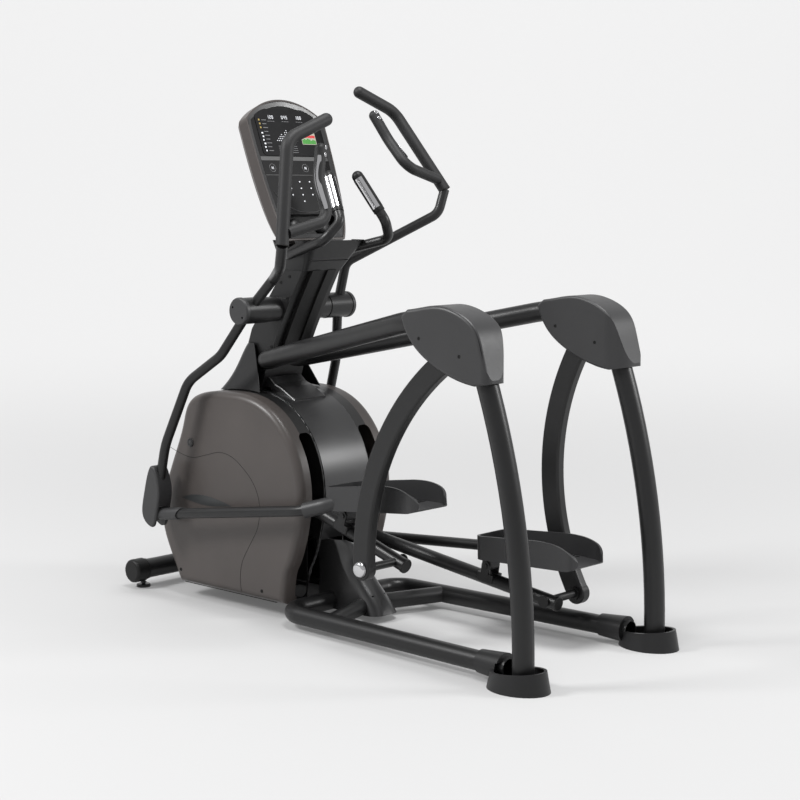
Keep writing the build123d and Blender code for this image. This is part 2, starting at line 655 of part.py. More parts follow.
def console():
    """Back shell, face panel, display lens and the tray with bottle holders."""
    plane = console_plane()
    back = loft([plane.offset(-60) * console_outline(16), plane.offset(-38) * console_outline(0)])
    rim = extrude(plane.offset(-38) * console_outline(0), amount=38)
    hollow = extrude(plane.offset(-35) * console_outline(6), amount=40)
    add("console_back", (back + rim) - hollow)
    face = extrude(plane.offset(-30) * console_outline(6.2), amount=26)
    face -= extrude(plane.offset(-6) * screen_outline(0), amount=10)
    recess = plane.offset(-26) * Location((0, 51)) * RectangleRounded(226, 74, 24)
    face -= extrude(recess, amount=40)
    add("console_face", face)
    add("console_screen", extrude(plane.offset(-5.8) * screen_outline(SCREEN_GAP), amount=3.2))


def screen_outline(inset):
    """Display window: a rounded rectangle whose upper corners follow the arch of the rim."""
    width, height, corner = SCREEN_SIZE
    window = RectangleRounded(width - 2 * inset, height - 2 * inset, corner - inset)
    return (Location((0, SCREEN_MIDDLE)) * window) & console_outline(SCREEN_RIM + inset)


def console_tray():
    """Flared tray under the console that carries it on the mast."""
    low = Plane.XY.offset(1100) * Location((-277, 0)) * RectangleRounded(118, 168, 14)
    mid = Plane.XY.offset(1140) * Location((-262, 0)) * RectangleRounded(150, 200, 22)
    top = Plane.XY.offset(1196) * Location((-243, 0)) * RectangleRounded(190, 264, 34)
    tray = loft([low, mid]) + loft([mid, top])
    inside = loft([
        Plane.XY.offset(1130) * Location((-246, 0)) * RectangleRounded(104, 190, 20),
        Plane.XY.offset(1200) * Location((-228, 0)) * RectangleRounded(146, 252, 30),
    ])
    tray -= inside
    plane = console_plane()
    tray -= extrude(plane.offset(-60.4) * Location((0, 200)) * Rectangle(400, 440), amount=90)
    tray -= fixed_handle_solid(BAR_TUBE)
    add("console_tray", tray)


# ------------------------------------------------------------------ fixed handles
HANDLE_POINTS = [(-300, -24, 1142), (-296, -92, 1146), (-70, -146, 1200), (-44, -100, 1258), (-131, -65, 1396)]


def fixed_handle_path():
    return route(HANDLE_POINTS, [40, 40, 34])


def fixed_handle_solid(radius):
    """Both sides of the fixed handle, joined under the console."""
    one = rod(fixed_handle_path(), radius)
    start = Vector(*HANDLE_POINTS[0])
    bridge = pin(start.X, start.Z, -24, 24, radius)
    return one + bridge + mirror(one, about=Plane.XZ)


def fixed_handles():
    """Fixed handle tube with pulse grips: plastic sleeves and chrome contact plates."""
    top = Vector(*HANDLE_POINTS[-1])
    bend = Vector(*HANDLE_POINTS[-2])
    along = (top - bend).normalized()
    low = top - along * 132
    sleeves = []
    plates = []
    for _, side in SIDES:
        sleeve = rod(Line(low, top), GRIP_TUBE - 1) + Location(top) * Sphere(GRIP_TUBE - 1)
        sleeve -= rod(Line(low - along, top - along * 10), BAR_TUBE)
        ring = rod(Line(low + along * 12, top - along * 8), GRIP_TUBE)
        ring -= rod(Line(low, top), GRIP_TUBE - 1)
        across = Vector(0, 1, 0) - along * along.Y
        gap = Plane(origin=low + along * 60, x_dir=along, z_dir=across.cross(along))
        ring -= gap * Box(200, 14, 60)
        sleeves.append(on_side(sleeve, side))
        plates.append(on_side(ring, side))
    tube = fixed_handle_solid(BAR_TUBE)
    for _, side in SIDES:
        tube -= on_side(rod(Line(top - along * 10, top + along * 30), 40), side)
    add("fixed_handle", tube)
    add("pulse_grips", *sleeves)
    add("pulse_plates", *plates)


# ------------------------------------------------------------------ housing
SHELL_INNER = -104                      # side shell rim, against the centre shroud
SHELL_OUTER = -208
SHROUD_HALF = 82
SHROUD_NECK = [(-440, 650), (-440, 748), (-398, 748), (-374, 729), (-345, 719), (-284, 686), (-300, 650)]
NECK_HALF = 72
TAIL_TOP = 250                          # joint between the shroud and its tail
TAIL_RINGS = [(20, 66, 62), (50, 48, 56), (95, 10, 51), (151, -40, 51), (200, -60, 57), (TAIL_TOP, -74, 72)]
TAIL_FRONT = -275
TAIL_ROUND = 44
NECK_RINGS = [(560, -690, -330, 158), (655, -640, -330, 152), (732, -562, -330, 130),
              (812, -524, -340, 106), (858, -502, -350, 94)]
NECK_ROUND = 40


def housing_outline(y, inset):
    """Side view of the housing: a leaning egg that is cut off flat near the floor."""
    front = Spline(
        (-712 + inset, y, 46 + inset), (-804 + inset, y, 250), (-694 + 0.7 * inset, y, 574 - 0.7 * inset),
        (-440, y, 706 - inset), tangents=[(-0.5, 0, 1), (1, 0, 0)])
    rear = Spline(
        (-440, y, 706 - inset), (-205 - 0.6 * inset, y, 618 - 0.7 * inset), (-116 - inset, y, 400),
        (-172 - inset, y, 170), (-200 - inset, y, 46 + inset), tangents=[(1, 0, 0), (-0.1, 0, -1)])
    return Wire([front, rear, Line(rear @ 1, front @ 0)])


def housing_solid(y_from, y_to, inset):
    return extrude(make_face(housing_outline(y_from, inset)), amount=y_to - y_from, dir=(0, 1, 0))


def side_shells():
    """Outer shells with a long slot at the rear for the main links."""
    for name, side in SIDES:
        outer = rounded_shell(SHELL_OUTER, 0, 24)
        shell = outer - rounded_shell(SHELL_OUTER + SHELL, SHELL, 20)
        slot = block(-330, 0, -160, SHELL_INNER - 3, 60, 592)
        shell -= fillet(slot.edges().filter_by(Axis.X), 18)
        add(name + "_side_shell", on_side(shell, side))


def rounded_shell(y_outer, inset, radius):
    """A slab of the housing, rounded on its outer face; an inset one is open inside."""
    slab = housing_solid(y_outer, SHELL_INNER + inset, inset)
    return fillet(slab.edges().filter_by(lambda e: abs(e.center().Y - y_outer) < 1), radius)


def centre_shroud():
    """Gloss cover over the drive, between the side shells, with a neck up to the mast."""
    half = SHROUD_HALF
    body = housing_solid(-half, half, -3)
    body += housing_solid(-half - 20, half + 20, -3) - housing_solid(-half - 21, half + 21, 9)
    neck = plate(SHROUD_NECK, -NECK_HALF, NECK_HALF)
    neck = fillet(neck.edges().filter_by(
        lambda e: abs(abs(e.center().Y) - NECK_HALF) < 1 and e.center().X > -400 and e.center().Z > 700), 9)
    body += neck - housing_solid(-half, half, 0)
    body -= housing_solid(-half + SHELL, half - SHELL, 2)
    body -= plate([(x - 4, z - 5) for x, z in SHROUD_NECK], -NECK_HALF + 4, NECK_HALF - 4)
    body -= block(-900, 0, -120, 120, -10, 84)
    body -= pin(CRANK_CENTRE.X, CRANK_CENTRE.Z, -half - 1, half + 1, 34)
    body -= plate(MAST_REAR + MAST_FRONT, -MAST_HALF - 0.3, MAST_HALF + 0.3)
    body -= block(-522, -396, -half, half, 690, 716)
    body -= block(-220, 0, -120, 120, 0, TAIL_TOP)
    add("centre_shroud", body)


def shroud_tail():
    """Tail that sweeps down from the shroud and flares over the rear cross tubes."""
    tail = tail_solid(0)
    tail -= tail_solid(SHELL)
    tail -= block(TAIL_FRONT - 10, 200, -200, 200, -10, 22)
    tail -= block(-300, SPINE[1] + 2, -31, 31, 0, 81)
    for _, side in SIDES:
        tail -= on_side(rod(cross_path(), CROSS_TUBE + 0.3), side)
        tail -= on_side(rod(rail_path(), BASE_TUBE + 0.3), side)
    tail -= block(TAIL_FRONT - 10, -196, -200, 200, 0, TAIL_TOP + 10)
    add("shroud_tail", tail)


def tail_solid(inset):
    """Rings of the tail from its foot up to the shroud, joined in one smooth skin."""
    rings = []
    for z, x_rear, half in TAIL_RINGS:
        x_rear -= inset
        half -= inset
        ring = RectangleRounded(x_rear - TAIL_FRONT, 2 * half, TAIL_ROUND - inset)
        level = z + (4 * inset if z > TAIL_TOP - 10 else 0)
        rings.append(Plane.XY.offset(level) * Location(((x_rear + TAIL_FRONT) / 2, 0)) * ring)
    return loft(rings)


def neck_cover():
    """Dark cowl round the front of the mast's foot, over the tops of the side shells."""
    solid = neck_solid(0) - neck_solid(SHELL)
    solid -= housing_solid(-300, 300, -3.4)
    solid -= plate([(-470, 900), (-372, 690), (-372, 560), (-100, 560), (-100, 900)], -300, 300)
    solid -= plate(MAST_REAR + [(-318, 1100)] + [(x - 0.4, z) for x, z in MAST_FRONT[1:]],
                   -MAST_HALF - 0.4, MAST_HALF + 0.4)
    add("neck_cover", solid)


def neck_solid(inset):
    """Rings of the cowl, from the shells up to the cheeks of the mast."""
    rings = []
    for z, x_front, x_rear, half in NECK_RINGS:
        x_front += inset
        half -= inset
        level = z + (5 if inset and z > 850 else 0) - (5 if inset and z < 600 else 0)
        ring = RectangleRounded(x_rear - x_front, 2 * half, NECK_ROUND - inset)
        rings.append(Plane.XY.offset(level) * Location(((x_rear + x_front) / 2, 0)) * ring)
    return loft(rings)


# ------------------------------------------------------------------ drive
PULLEY_Y = (39, 55)
PULLEY_RADIUS = 200
WHEEL_Y = (-50, -10)
WHEEL_RADIUS = 125
WHEEL_PULLEY = 25
BELT_GAP = 0.3
BELT_THICK = 3.0
ARM_PLATE_Y = (-102, -87)               # crank arms run outside the centre shroud


def crank():
    """Crank axle, its belt pulley and the two crank arms with their stub pins."""
    x, z = CRANK_CENTRE.X, CRANK_CENTRE.Z
    axle = pin(x, z, -ARM_PLATE_Y[1], ARM_PLATE_Y[1], 12)
    axle += pin(x, z, -57.5, 57.5, 18)
    add("crank_axle", axle)
    wheel = pin(x, z, PULLEY_Y[0], PULLEY_Y[1], PULLEY_RADIUS)
    wheel -= pin(x, z, PULLEY_Y[0], PULLEY_Y[0] + 5, PULLEY_RADIUS - 12)
    wheel -= pin(x, z, PULLEY_Y[1] - 5, PULLEY_Y[1], PULLEY_RADIUS - 12)
    wheel += pin(x, z, PULLEY_Y[0], PULLEY_Y[1], 44)
    for spoke in range(6):
        a = math.radians(60 * spoke)
        wheel -= pin(x + 115 * math.cos(a), z + 115 * math.sin(a), PULLEY_Y[0], PULLEY_Y[1], 42)
    add("crank_pulley", wheel - pin(x, z, 0, 60, 18))
    arms = []
    for _, side in SIDES:
        a = math.radians(CRANK_ANGLE + 180 * stride_of(side))
        out = Vector(math.cos(a), 0, math.sin(a))
        square = Vector(-math.sin(a), 0, math.cos(a))
        tip = CRANK_CENTRE + out * CRANK_RADIUS
        corners = [CRANK_CENTRE + square * 24, tip + square * 17, tip - square * 17, CRANK_CENTRE - square * 24]
        arm = plate([(c.X, c.Z) for c in corners], *ARM_PLATE_Y)
        arm += pin(x, z, *ARM_PLATE_Y, 26)
        arm += pin(tip.X, tip.Z, *ARM_PLATE_Y, 19)
        arm += pin(tip.X, tip.Z, -106, ARM_PLATE_Y[0], 10)
        arms.append(on_side(arm, side) - pin(x, z, -90, 90, 12))
    add("crank_arms", *arms)


def flywheel():
    """Heavy rim wheel with its own small pulley and shaft."""
    x, z = FLYWHEEL_CENTRE.X, FLYWHEEL_CENTRE.Z
    wheel = pin(x, z, WHEEL_Y[0], WHEEL_Y[1], WHEEL_RADIUS)
    wheel -= pin(x, z, WHEEL_Y[0], WHEEL_Y[0] + 13, WHEEL_RADIUS - 28)
    wheel -= pin(x, z, WHEEL_Y[1] - 13, WHEEL_Y[1], WHEEL_RADIUS - 28)
    wheel += pin(x, z, WHEEL_Y[0], PULLEY_Y[0], 20)
    wheel += pin(x, z, PULLEY_Y[0], PULLEY_Y[1], WHEEL_PULLEY)
    add("flywheel", wheel + pin(x, z, -68, 68, 8))


def belt_loop(grow):
    """Outline of both pulleys and the two straight runs between them, as one solid."""
    big, small = CRANK_CENTRE, FLYWHEEL_CENTRE
    y0, y1 = PULLEY_Y
    apart = small - big
    phi = math.atan2(apart.Z, apart.X)
    alpha = math.acos((PULLEY_RADIUS - WHEEL_PULLEY) / apart.length)
    corners = []
    for centre, radius, signs in ((big, PULLEY_RADIUS, (1, -1)), (small, WHEEL_PULLEY, (-1, 1))):
        for sign in signs:
            a = phi + sign * alpha
            reach = radius + grow
            corners.append((centre.X + reach * math.cos(a), centre.Z + reach * math.sin(a)))
    loop = plate(corners, y0, y1)
    loop += pin(big.X, big.Z, y0, y1, PULLEY_RADIUS + grow)
    return loop + pin(small.X, small.Z, y0, y1, WHEEL_PULLEY + grow)


def drive():
    """Belt, bearings and the magnet that brakes the flywheel's rim."""
    add("drive_belt", belt_loop(BELT_GAP + BELT_THICK) - belt_loop(BELT_GAP))
    rings = []
    for centre, outer, inner, half in ((CRANK_CENTRE, CRANK_BEARING, 12, 8), (FLYWHEEL_CENTRE, WHEEL_BEARING, 8, 5)):
        for _, side in SIDES:
            ring = pin(centre.X, centre.Z, -PLATE_INNER - half, -PLATE_INNER + 3, outer)
            rings.append(on_side(ring - pin(centre.X, centre.Z, -90, 0, inner + FIT), side))
    add("drive_bearings", *rings)
    x, z = FLYWHEEL_CENTRE.X, FLYWHEEL_CENTRE.Z + WHEEL_RADIUS
    magnet = block(x - 40, x + 40, -PLATE_INNER, -2, z - 26, z + 22)
    magnet -= block(x - 50, x + 50, WHEEL_Y[0] - 3, WHEEL_Y[1] + 3, z - 30, z + 5)
    add("brake_magnet", magnet)


# ------------------------------------------------------------------ screws
def frame_screws():
    """Countersunk socket screws in the corner covers and the mast's cheeks."""
    screws = []
    for _, side in SIDES:
        for x, z in COVER_SCREWS:
            screws.append(on_side(screw_head(x, z, COVER_Y[0] + 0.6, 1), side))
            screws.append(on_side(screw_head(x, z, COVER_Y[1] - 0.6, -1), side))
        for x, z in MAST_SCREWS:
            screws.append(on_side(screw_head(x, z, -MAST_HALF - 1.6, 1), side))
    add("frame_screws", *screws)


def screw_head(x, z, y, inward):
    """A round head with a hexagon socket, its outer face at y."""
    deep = 1.6 * inward
    low, high = min(y, y + deep), max(y, y + deep)
    head = pin(x, z, low, high, SCREW_HEAD - 0.3)
    key = Plane(origin=(x, y, z), z_dir=(0, inward, 0)) * RegularPolygon(2.6, 6)
    return head - extrude(key, amount=1.1)


if __name__ == "__main__":
    front_stabilizer()
    stabilizer_caps()
    levelling_feet()
    for name, side in SIDES:
        base_rail(name, side)
    chassis()
    rear_boots()
    arch_tubes()
    corner_covers()
    swing_pivot_shafts()
    swing_arms()
    main_links()
    pedal_trays()
    handlebars()
    pod_buttons()
    mast()
    console()
    console_tray()
    fixed_handles()
    side_shells()
    centre_shroud()
    shroud_tail()
    neck_cover()
    crank()
    flywheel()
    drive()
    frame_screws()
    os.makedirs("parts", exist_ok=True)
    for name, shape in PARTS.items():
        export_step(shape, "parts/" + name + ".step")
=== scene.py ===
"""An elliptical trainer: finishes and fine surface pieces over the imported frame."""
import json
import logging
import math
from dataclasses import dataclass, field
from enum import Enum

import bpy
import numpy as np
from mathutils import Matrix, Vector


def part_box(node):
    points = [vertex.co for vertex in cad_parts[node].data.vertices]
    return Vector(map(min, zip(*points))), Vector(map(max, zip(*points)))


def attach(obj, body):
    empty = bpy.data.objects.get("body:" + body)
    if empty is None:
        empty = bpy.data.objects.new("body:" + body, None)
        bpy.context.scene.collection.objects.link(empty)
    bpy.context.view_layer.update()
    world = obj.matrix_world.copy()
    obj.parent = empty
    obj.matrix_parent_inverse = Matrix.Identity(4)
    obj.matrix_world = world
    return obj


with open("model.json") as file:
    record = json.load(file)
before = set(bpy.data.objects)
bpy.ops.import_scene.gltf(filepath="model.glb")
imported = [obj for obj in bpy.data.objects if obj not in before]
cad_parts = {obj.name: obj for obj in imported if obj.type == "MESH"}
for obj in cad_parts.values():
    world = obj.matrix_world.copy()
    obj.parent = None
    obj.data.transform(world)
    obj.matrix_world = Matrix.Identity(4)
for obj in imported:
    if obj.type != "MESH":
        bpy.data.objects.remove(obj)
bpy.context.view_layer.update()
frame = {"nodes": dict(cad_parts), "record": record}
LOG = logging.getLogger("trainer")
SIDES = (("left", -1.0), ("right", 1.0))
MM = 0.001


# ------------------------------------------------------------------ shader maths
class Value:
    """A shader socket that takes arithmetic, so that shader maths reads as an expression."""

    def __init__(self, graph: "Graph", socket: bpy.types.NodeSocket) -> None:
        """Wraps one output socket of a graph."""
        self.graph = graph
        self.socket = socket

    def _math(self, operation: str, first: object, second: object) -> "Value":
        """Adds one Math node and returns its output."""
        return self.graph.node("ShaderNodeMath", {"operation": operation}, {0: first, 1: second})

    def __add__(self, other: object) -> "Value":
        """The sum."""
        return self._math("ADD", self, other)

    def __sub__(self, other: object) -> "Value":
        """The difference."""
        return self._math("SUBTRACT", self, other)

    def __rsub__(self, other: object) -> "Value":
        """The reflected difference, so that 1 - mask works."""
        return self._math("SUBTRACT", other, self)

    def __mul__(self, other: object) -> "Value":
        """The product."""
        return self._math("MULTIPLY", self, other)

    def __pow__(self, other: object) -> "Value":
        """The power."""
        return self._math("POWER", self, other)

    __radd__ = __add__
    __rmul__ = __mul__


class Graph:
    """The node tree of one material, with a Principled shader at its end."""

    def __init__(self, name: str) -> None:
        """Makes the material and finds its shader.

        Args:
            name: The material's name.
        """
        self.material = bpy.data.materials.new(name)
        self.material.use_nodes = True
        self.tree = self.material.node_tree
        self.shader = next(n for n in self.tree.nodes if n.type == "BSDF_PRINCIPLED")

    def node(self, kind: str, settings: dict[str, object], inputs: dict, output: object = 0) -> Value:
        """Adds a node.

        Args:
            kind: The node's type name.
            settings: Attributes that are set before the sockets.
            inputs: Values or links by socket index or name.
            output: The output's index or name.

        Returns:
            The chosen output.
        """
        made = self.tree.nodes.new(kind)
        for key, setting in settings.items():
            setattr(made, key, setting)
        for key, value in inputs.items():
            self.feed(made.inputs[key], value)
        return Value(self, made.outputs[output])

    def feed(self, socket: bpy.types.NodeSocket, value: object) -> None:
        """Links a Value to a socket, or sets the socket's constant."""
        if isinstance(value, Value):
            self.tree.links.new(value.socket, socket)
        else:
            socket.default_value = value

    def place(self) -> Value:
        """Object coordinates, which are the row frame in metres."""
        return self.node("ShaderNodeTexCoord", {}, {}, "Object")

    def noise(self, scale: float, detail: float, stretch: tuple[float, float, float] = (1, 1, 1)) -> Value:
        """Noise over the object.

        Args:
            scale: Waves per metre.
            detail: Octaves.
            stretch: How much each axis is stretched before the noise is read.

        Returns:
            The noise, about 0.5 on average.
        """
        spot = self.node("ShaderNodeMapping", {}, {"Vector": self.place(), "Scale": stretch})
        return self.node("ShaderNodeTexNoise", {}, {"Vector": spot, "Scale": scale, "Detail": detail})

    def blend(self, factor: Value, first: object, second: object) -> Value:
        """A colour between two colours."""
        sockets = {0: factor, 6: first, 7: second}
        return self.node("ShaderNodeMix", {"data_type": "RGBA"}, sockets, 2)

    def set(self, **sockets: object) -> None:
        """Feeds the shader's sockets; underscores in a name stand for spaces."""
        for name, value in sockets.items():
            self.feed(self.shader.inputs[name.replace("_", " ")], value)


# ------------------------------------------------------------------ finishes
class Texture(Enum):
    """How a surface is textured."""

    ORANGE_PEEL = "powder coat"
    MOULD_GRAIN = "grained plastic"
    FOAM = "closed-cell foam"
    BRUSHED = "brushed metal"
    POLISHED = "polished"


@dataclass(frozen=True)
class Finish:
    """A surface finish with fine relief, broad colour drift and a changing roughness."""

    name: str
    slot: str
    colour: tuple[float, float, float]
    texture: Texture
    roughness: float
    metallic: float = 0.0
    coat: float = 0.0
    drift: float = 0.16
    depth: float = 0.00004
    glow: float = 0.0
    specular: float = 0.5
    inner: tuple[float, float, float] | None = None

    def relief(self, graph: Graph) -> Value:
        """The fine height pattern of this finish, from 0 to 1.

        Args:
            graph: The material's node tree.

        Returns:
            The height.
        """
        if self.texture is Texture.ORANGE_PEEL:
            return graph.noise(420.0, 3.0)
        if self.texture is Texture.BRUSHED:
            return graph.noise(900.0, 2.0, (0.04, 1.0, 1.0))
        if self.texture is Texture.POLISHED:
            return graph.noise(60.0, 1.0)
        scale = 950.0 if self.texture is Texture.MOULD_GRAIN else 620.0
        cell = graph.node("ShaderNodeTexVoronoi", {}, {"Vector": graph.place(), "Scale": scale})
        return cell * 0.8 + graph.noise(1400.0, 2.0) * 0.35

    def inboard(self, graph: Graph) -> Value:
        """A mask that is 1 near the machine's middle plane: abs(y) below INNER_EDGE.

        Args:
            graph: The material's node tree.

        Returns:
            The mask, 0 or 1.
        """
        split = graph.node("ShaderNodeSeparateXYZ", {}, {0: graph.place()}, 1)
        away = graph.node("ShaderNodeMath", {"operation": "ABSOLUTE"}, {0: split})
        return graph.node("ShaderNodeMath", {"operation": "LESS_THAN"}, {0: away, 1: INNER_EDGE})

    def build(self) -> bpy.types.Material:
        """Makes the material.

        Returns:
            A material whose colour, roughness and relief all change over the surface.
        """
        graph = Graph(self.name)
        fine = self.relief(graph)
        broad = graph.noise(7.0, 3.0)
        dust = graph.noise(55.0, 4.0) ** 3.0
        dark = tuple(c * (1 - self.drift) for c in self.colour) + (1.0,)
        light = tuple(min(1.0, c * (1 + self.drift)) for c in self.colour) + (1.0,)
        colour = graph.blend(broad, dark, light)
        if self.inner is not None:
            colour = graph.blend(self.inboard(graph), colour, self.inner + (1.0,))
        rough = self.roughness - 0.05 + broad * 0.06 + fine * 0.05 + dust * 0.12
        bump = graph.node("ShaderNodeBump", {}, {"Height": fine, "Distance": self.depth, "Strength": 1.0}, 0)
        graph.set(Base_Color=colour, Roughness=rough, Normal=bump)
        graph.set(Metallic=self.metallic, Coat_Weight=self.coat, Coat_Roughness=0.08)
        graph.set(Specular_IOR_Level=self.specular)
        if self.glow > 0:
            graph.set(Emission_Color=colour, Emission_Strength=self.glow)
        return graph.material


INNER_EDGE = 0.150      # the shells are dark within this distance of the middle plane
PEEL, GRAIN, FOAM, BRUSH, SHINE = Texture
FINISHES = {finish.name: finish for finish in (
    Finish("powder_coat", "frame_paint", (0.0085, 0.0085, 0.0088), PEEL, 0.36, depth=0.00006, specular=0.45),
    Finish("grey_cover", "cover_plastic", (0.030, 0.030, 0.031), GRAIN, 0.42, depth=0.00005, specular=0.5),
    Finish("dark_cover", "cover_plastic", (0.012, 0.012, 0.0125), GRAIN, 0.40, depth=0.00005, specular=0.4),
    Finish("black_plastic", "black_plastic", (0.006, 0.006, 0.006), GRAIN, 0.42, specular=0.3),
    Finish("warm_shell", "shell_plastic", (0.066, 0.057, 0.053), GRAIN, 0.36, depth=0.00002, specular=0.5,
           inner=(0.010, 0.010, 0.010)),
    Finish("warm_back", "shell_plastic", (0.058, 0.050, 0.047), GRAIN, 0.36, depth=0.00002, specular=0.5),
    Finish("gloss_black", "gloss_black", (0.012, 0.012, 0.0125), SHINE, 0.30, depth=0.00001, specular=0.9),
    Finish("panel_black", "gloss_black", (0.003, 0.003, 0.0032), SHINE, 0.34, depth=0.00001, specular=0.3),
    Finish("foam", "foam", (0.0095, 0.0095, 0.010), FOAM, 0.55, depth=0.00012, specular=0.45),
    Finish("chrome", "chrome", (0.62, 0.62, 0.63), SHINE, 0.12, metallic=1.0, drift=0.03, depth=0.00001),
    Finish("steel", "steel", (0.16, 0.16, 0.165), BRUSH, 0.34, metallic=1.0, depth=0.00002),
    Finish("iron", "iron", (0.06, 0.06, 0.06), PEEL, 0.5, metallic=0.8, depth=0.0001),
    Finish("lens", "lens", (0.0025, 0.0025, 0.003), SHINE, 0.30, depth=0.000005, specular=0.3),
    Finish("belt", "belt_rubber", (0.008, 0.008, 0.008), GRAIN, 0.7, depth=0.0001),
    Finish("silver_strip", "chrome", (0.10, 0.10, 0.10), BRUSH, 0.40, metallic=0.3, depth=0.00002),
    Finish("grey_bevel", "cover_plastic", (0.022, 0.022, 0.0225), SHINE, 0.30, depth=0.00001, specular=0.8),
    # light grey that paints the highlight along the shell's inner rim
    Finish("rim_highlight_bead", "cover_plastic", (0.060, 0.060, 0.061), SHINE, 0.28, depth=0.00001, specular=0.8),
    Finish("print_grey", "lens", (0.16, 0.16, 0.165), SHINE, 0.5, depth=0.000005),
    Finish("led_white", "lens", (0.62, 0.63, 0.66), SHINE, 0.4, depth=0.000005, glow=0.35),
    Finish("led_amber", "lens", (0.30, 0.22, 0.06), SHINE, 0.4, depth=0.000005, glow=0.2),
    Finish("screen_pale", "lens", (0.34, 0.33, 0.27), SHINE, 0.4, depth=0.000005, glow=0.2),
    Finish("led_red", "lens", (0.42, 0.03, 0.03), SHINE, 0.4, depth=0.000005, glow=0.4),
    Finish("led_green", "lens", (0.04, 0.20, 0.03), SHINE, 0.4, depth=0.000005, glow=0.4),
    Finish("seam", "black_plastic", (0.007, 0.0065, 0.006), GRAIN, 0.6, specular=0.3),
    Finish("badge", "black_plastic", (0.030, 0.032, 0.033), SHINE, 0.30, specular=0.6),
)}


class Paintshop:
    """Makes each material once, and puts materials on nodes and pieces."""

    def __init__(self) -> None:
        """Starts with no material made."""
        self.made: dict[str, bpy.types.Material] = {}

    def material(self, name: str) -> bpy.types.Material:
        """The material of a finish, made on first use."""
        if name not in self.made:
            self.made[name] = FINISHES[name].build()
        return self.made[name]

    def coat(self, obj: bpy.types.Object, name: str) -> None:
        """Puts one material on every slot of an object.

        Args:
            obj: The object.
            name: The name of its finish.
        """
        material = self.material(name)
        if not obj.data.materials:
            obj.data.materials.append(material)
        for index in range(len(obj.data.materials)):
            obj.data.materials[index] = material

    def coat_nodes(self, name: str, *nodes: str) -> None:
        """Puts one finish on CAD nodes."""
        for node in nodes:
            self.coat(frame["nodes"][node], name)
            LOG.info("node %s: %s", node, name)


PAINT = Paintshop()


# ------------------------------------------------------------------ mesh making
def piece(name: str, points: np.ndarray, faces: np.ndarray, finish: str, body: str) -> bpy.types.Object:
    """Makes a mesh piece that rides on a body.

    Args:
        name: The piece's name.
        points: Vertex positions in metres, one row each.
        faces: Vertex indices, four to a row.
        finish: The name of its finish.
        body: The body that it moves with.

    Returns:
        The new object, with its faces outwards.
    """
    mesh = bpy.data.meshes.new(name)
    mesh.from_pydata(np.asarray(points, float).tolist(), [], np.asarray(faces, int).tolist())
    mesh.validate()
    mesh.polygons.foreach_set("use_smooth", np.ones(len(mesh.polygons), bool))
    mesh.update()
    obj = bpy.data.objects.new(name, mesh)
    bpy.context.scene.collection.objects.link(obj)
    PAINT.coat(obj, finish)
    obj.data.set_sharp_from_angle(angle=math.radians(32))
    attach(obj, body)
    LOG.info("piece %s: %d faces on %s", name, len(faces), body)
    return obj


def outwards(points: np.ndarray, faces: np.ndarray) -> np.ndarray:
    """Turns a closed shape's faces outwards: the signed volume, a sum over faces, is made positive.

    Args:
        points: Vertex positions.
        faces: Vertex indices, four to a row.

    Returns:
        The faces, reversed if the volume was negative.
    """
    a, b, c, d = (points[faces[:, k]] for k in range(4))
    volume = np.einsum("ij,ij->i", a, np.cross(b, c) + np.cross(c, d)).sum()
    return faces if volume > 0 else faces[:, ::-1]


def grid_faces(rows: int, columns: int, wrap_rows: bool) -> np.ndarray:
    """Quads of a grid that closes round its columns, and round its rows too if asked.

    Args:
        rows: Number of rows.
        columns: Number of columns.
        wrap_rows: Whether the last row joins the first.

    Returns:
        Vertex indices, four to a row.
    """
    i, j = np.meshgrid(np.arange(rows if wrap_rows else rows - 1), np.arange(columns), indexing="ij")
    i, j = i.ravel(), j.ravel()
    down, right = (i + 1) % rows, (j + 1) % columns
    return np.stack([i * columns + j, i * columns + right, down * columns + right, down * columns + j], 1)


def slabs(origins: np.ndarray, across: np.ndarray, up: np.ndarray, deep: np.ndarray) -> tuple:
    """Many flat boxes in one mesh: corner = origin + a * across + b * up + c * deep, with a, b, c 0 or 1.

    Args:
        origins: Lowest corners, one row each.
        across: First edge of each box.
        up: Second edge of each box.
        deep: Third edge of each box.

    Returns:
        The points and the faces.
    """
    bits = np.array([(0, 0, 0), (1, 0, 0), (1, 1, 0), (0, 1, 0), (0, 0, 1), (1, 0, 1), (1, 1, 1), (0, 1, 1)])
    edges = np.stack([across, up, deep], 1)
    points = origins[:, None, :] + np.einsum("kc,ncx->nkx", bits, edges)
    quads = np.array([(0, 3, 2, 1), (4, 5, 6, 7), (0, 1, 5, 4), (1, 2, 6, 5), (2, 3, 7, 6), (3, 0, 4, 7)])
    faces = (quads[None] + 8 * np.arange(len(origins))[:, None, None]).reshape(-1, 4)
    points = points.reshape(-1, 3)
    return points, outwards(points, faces)


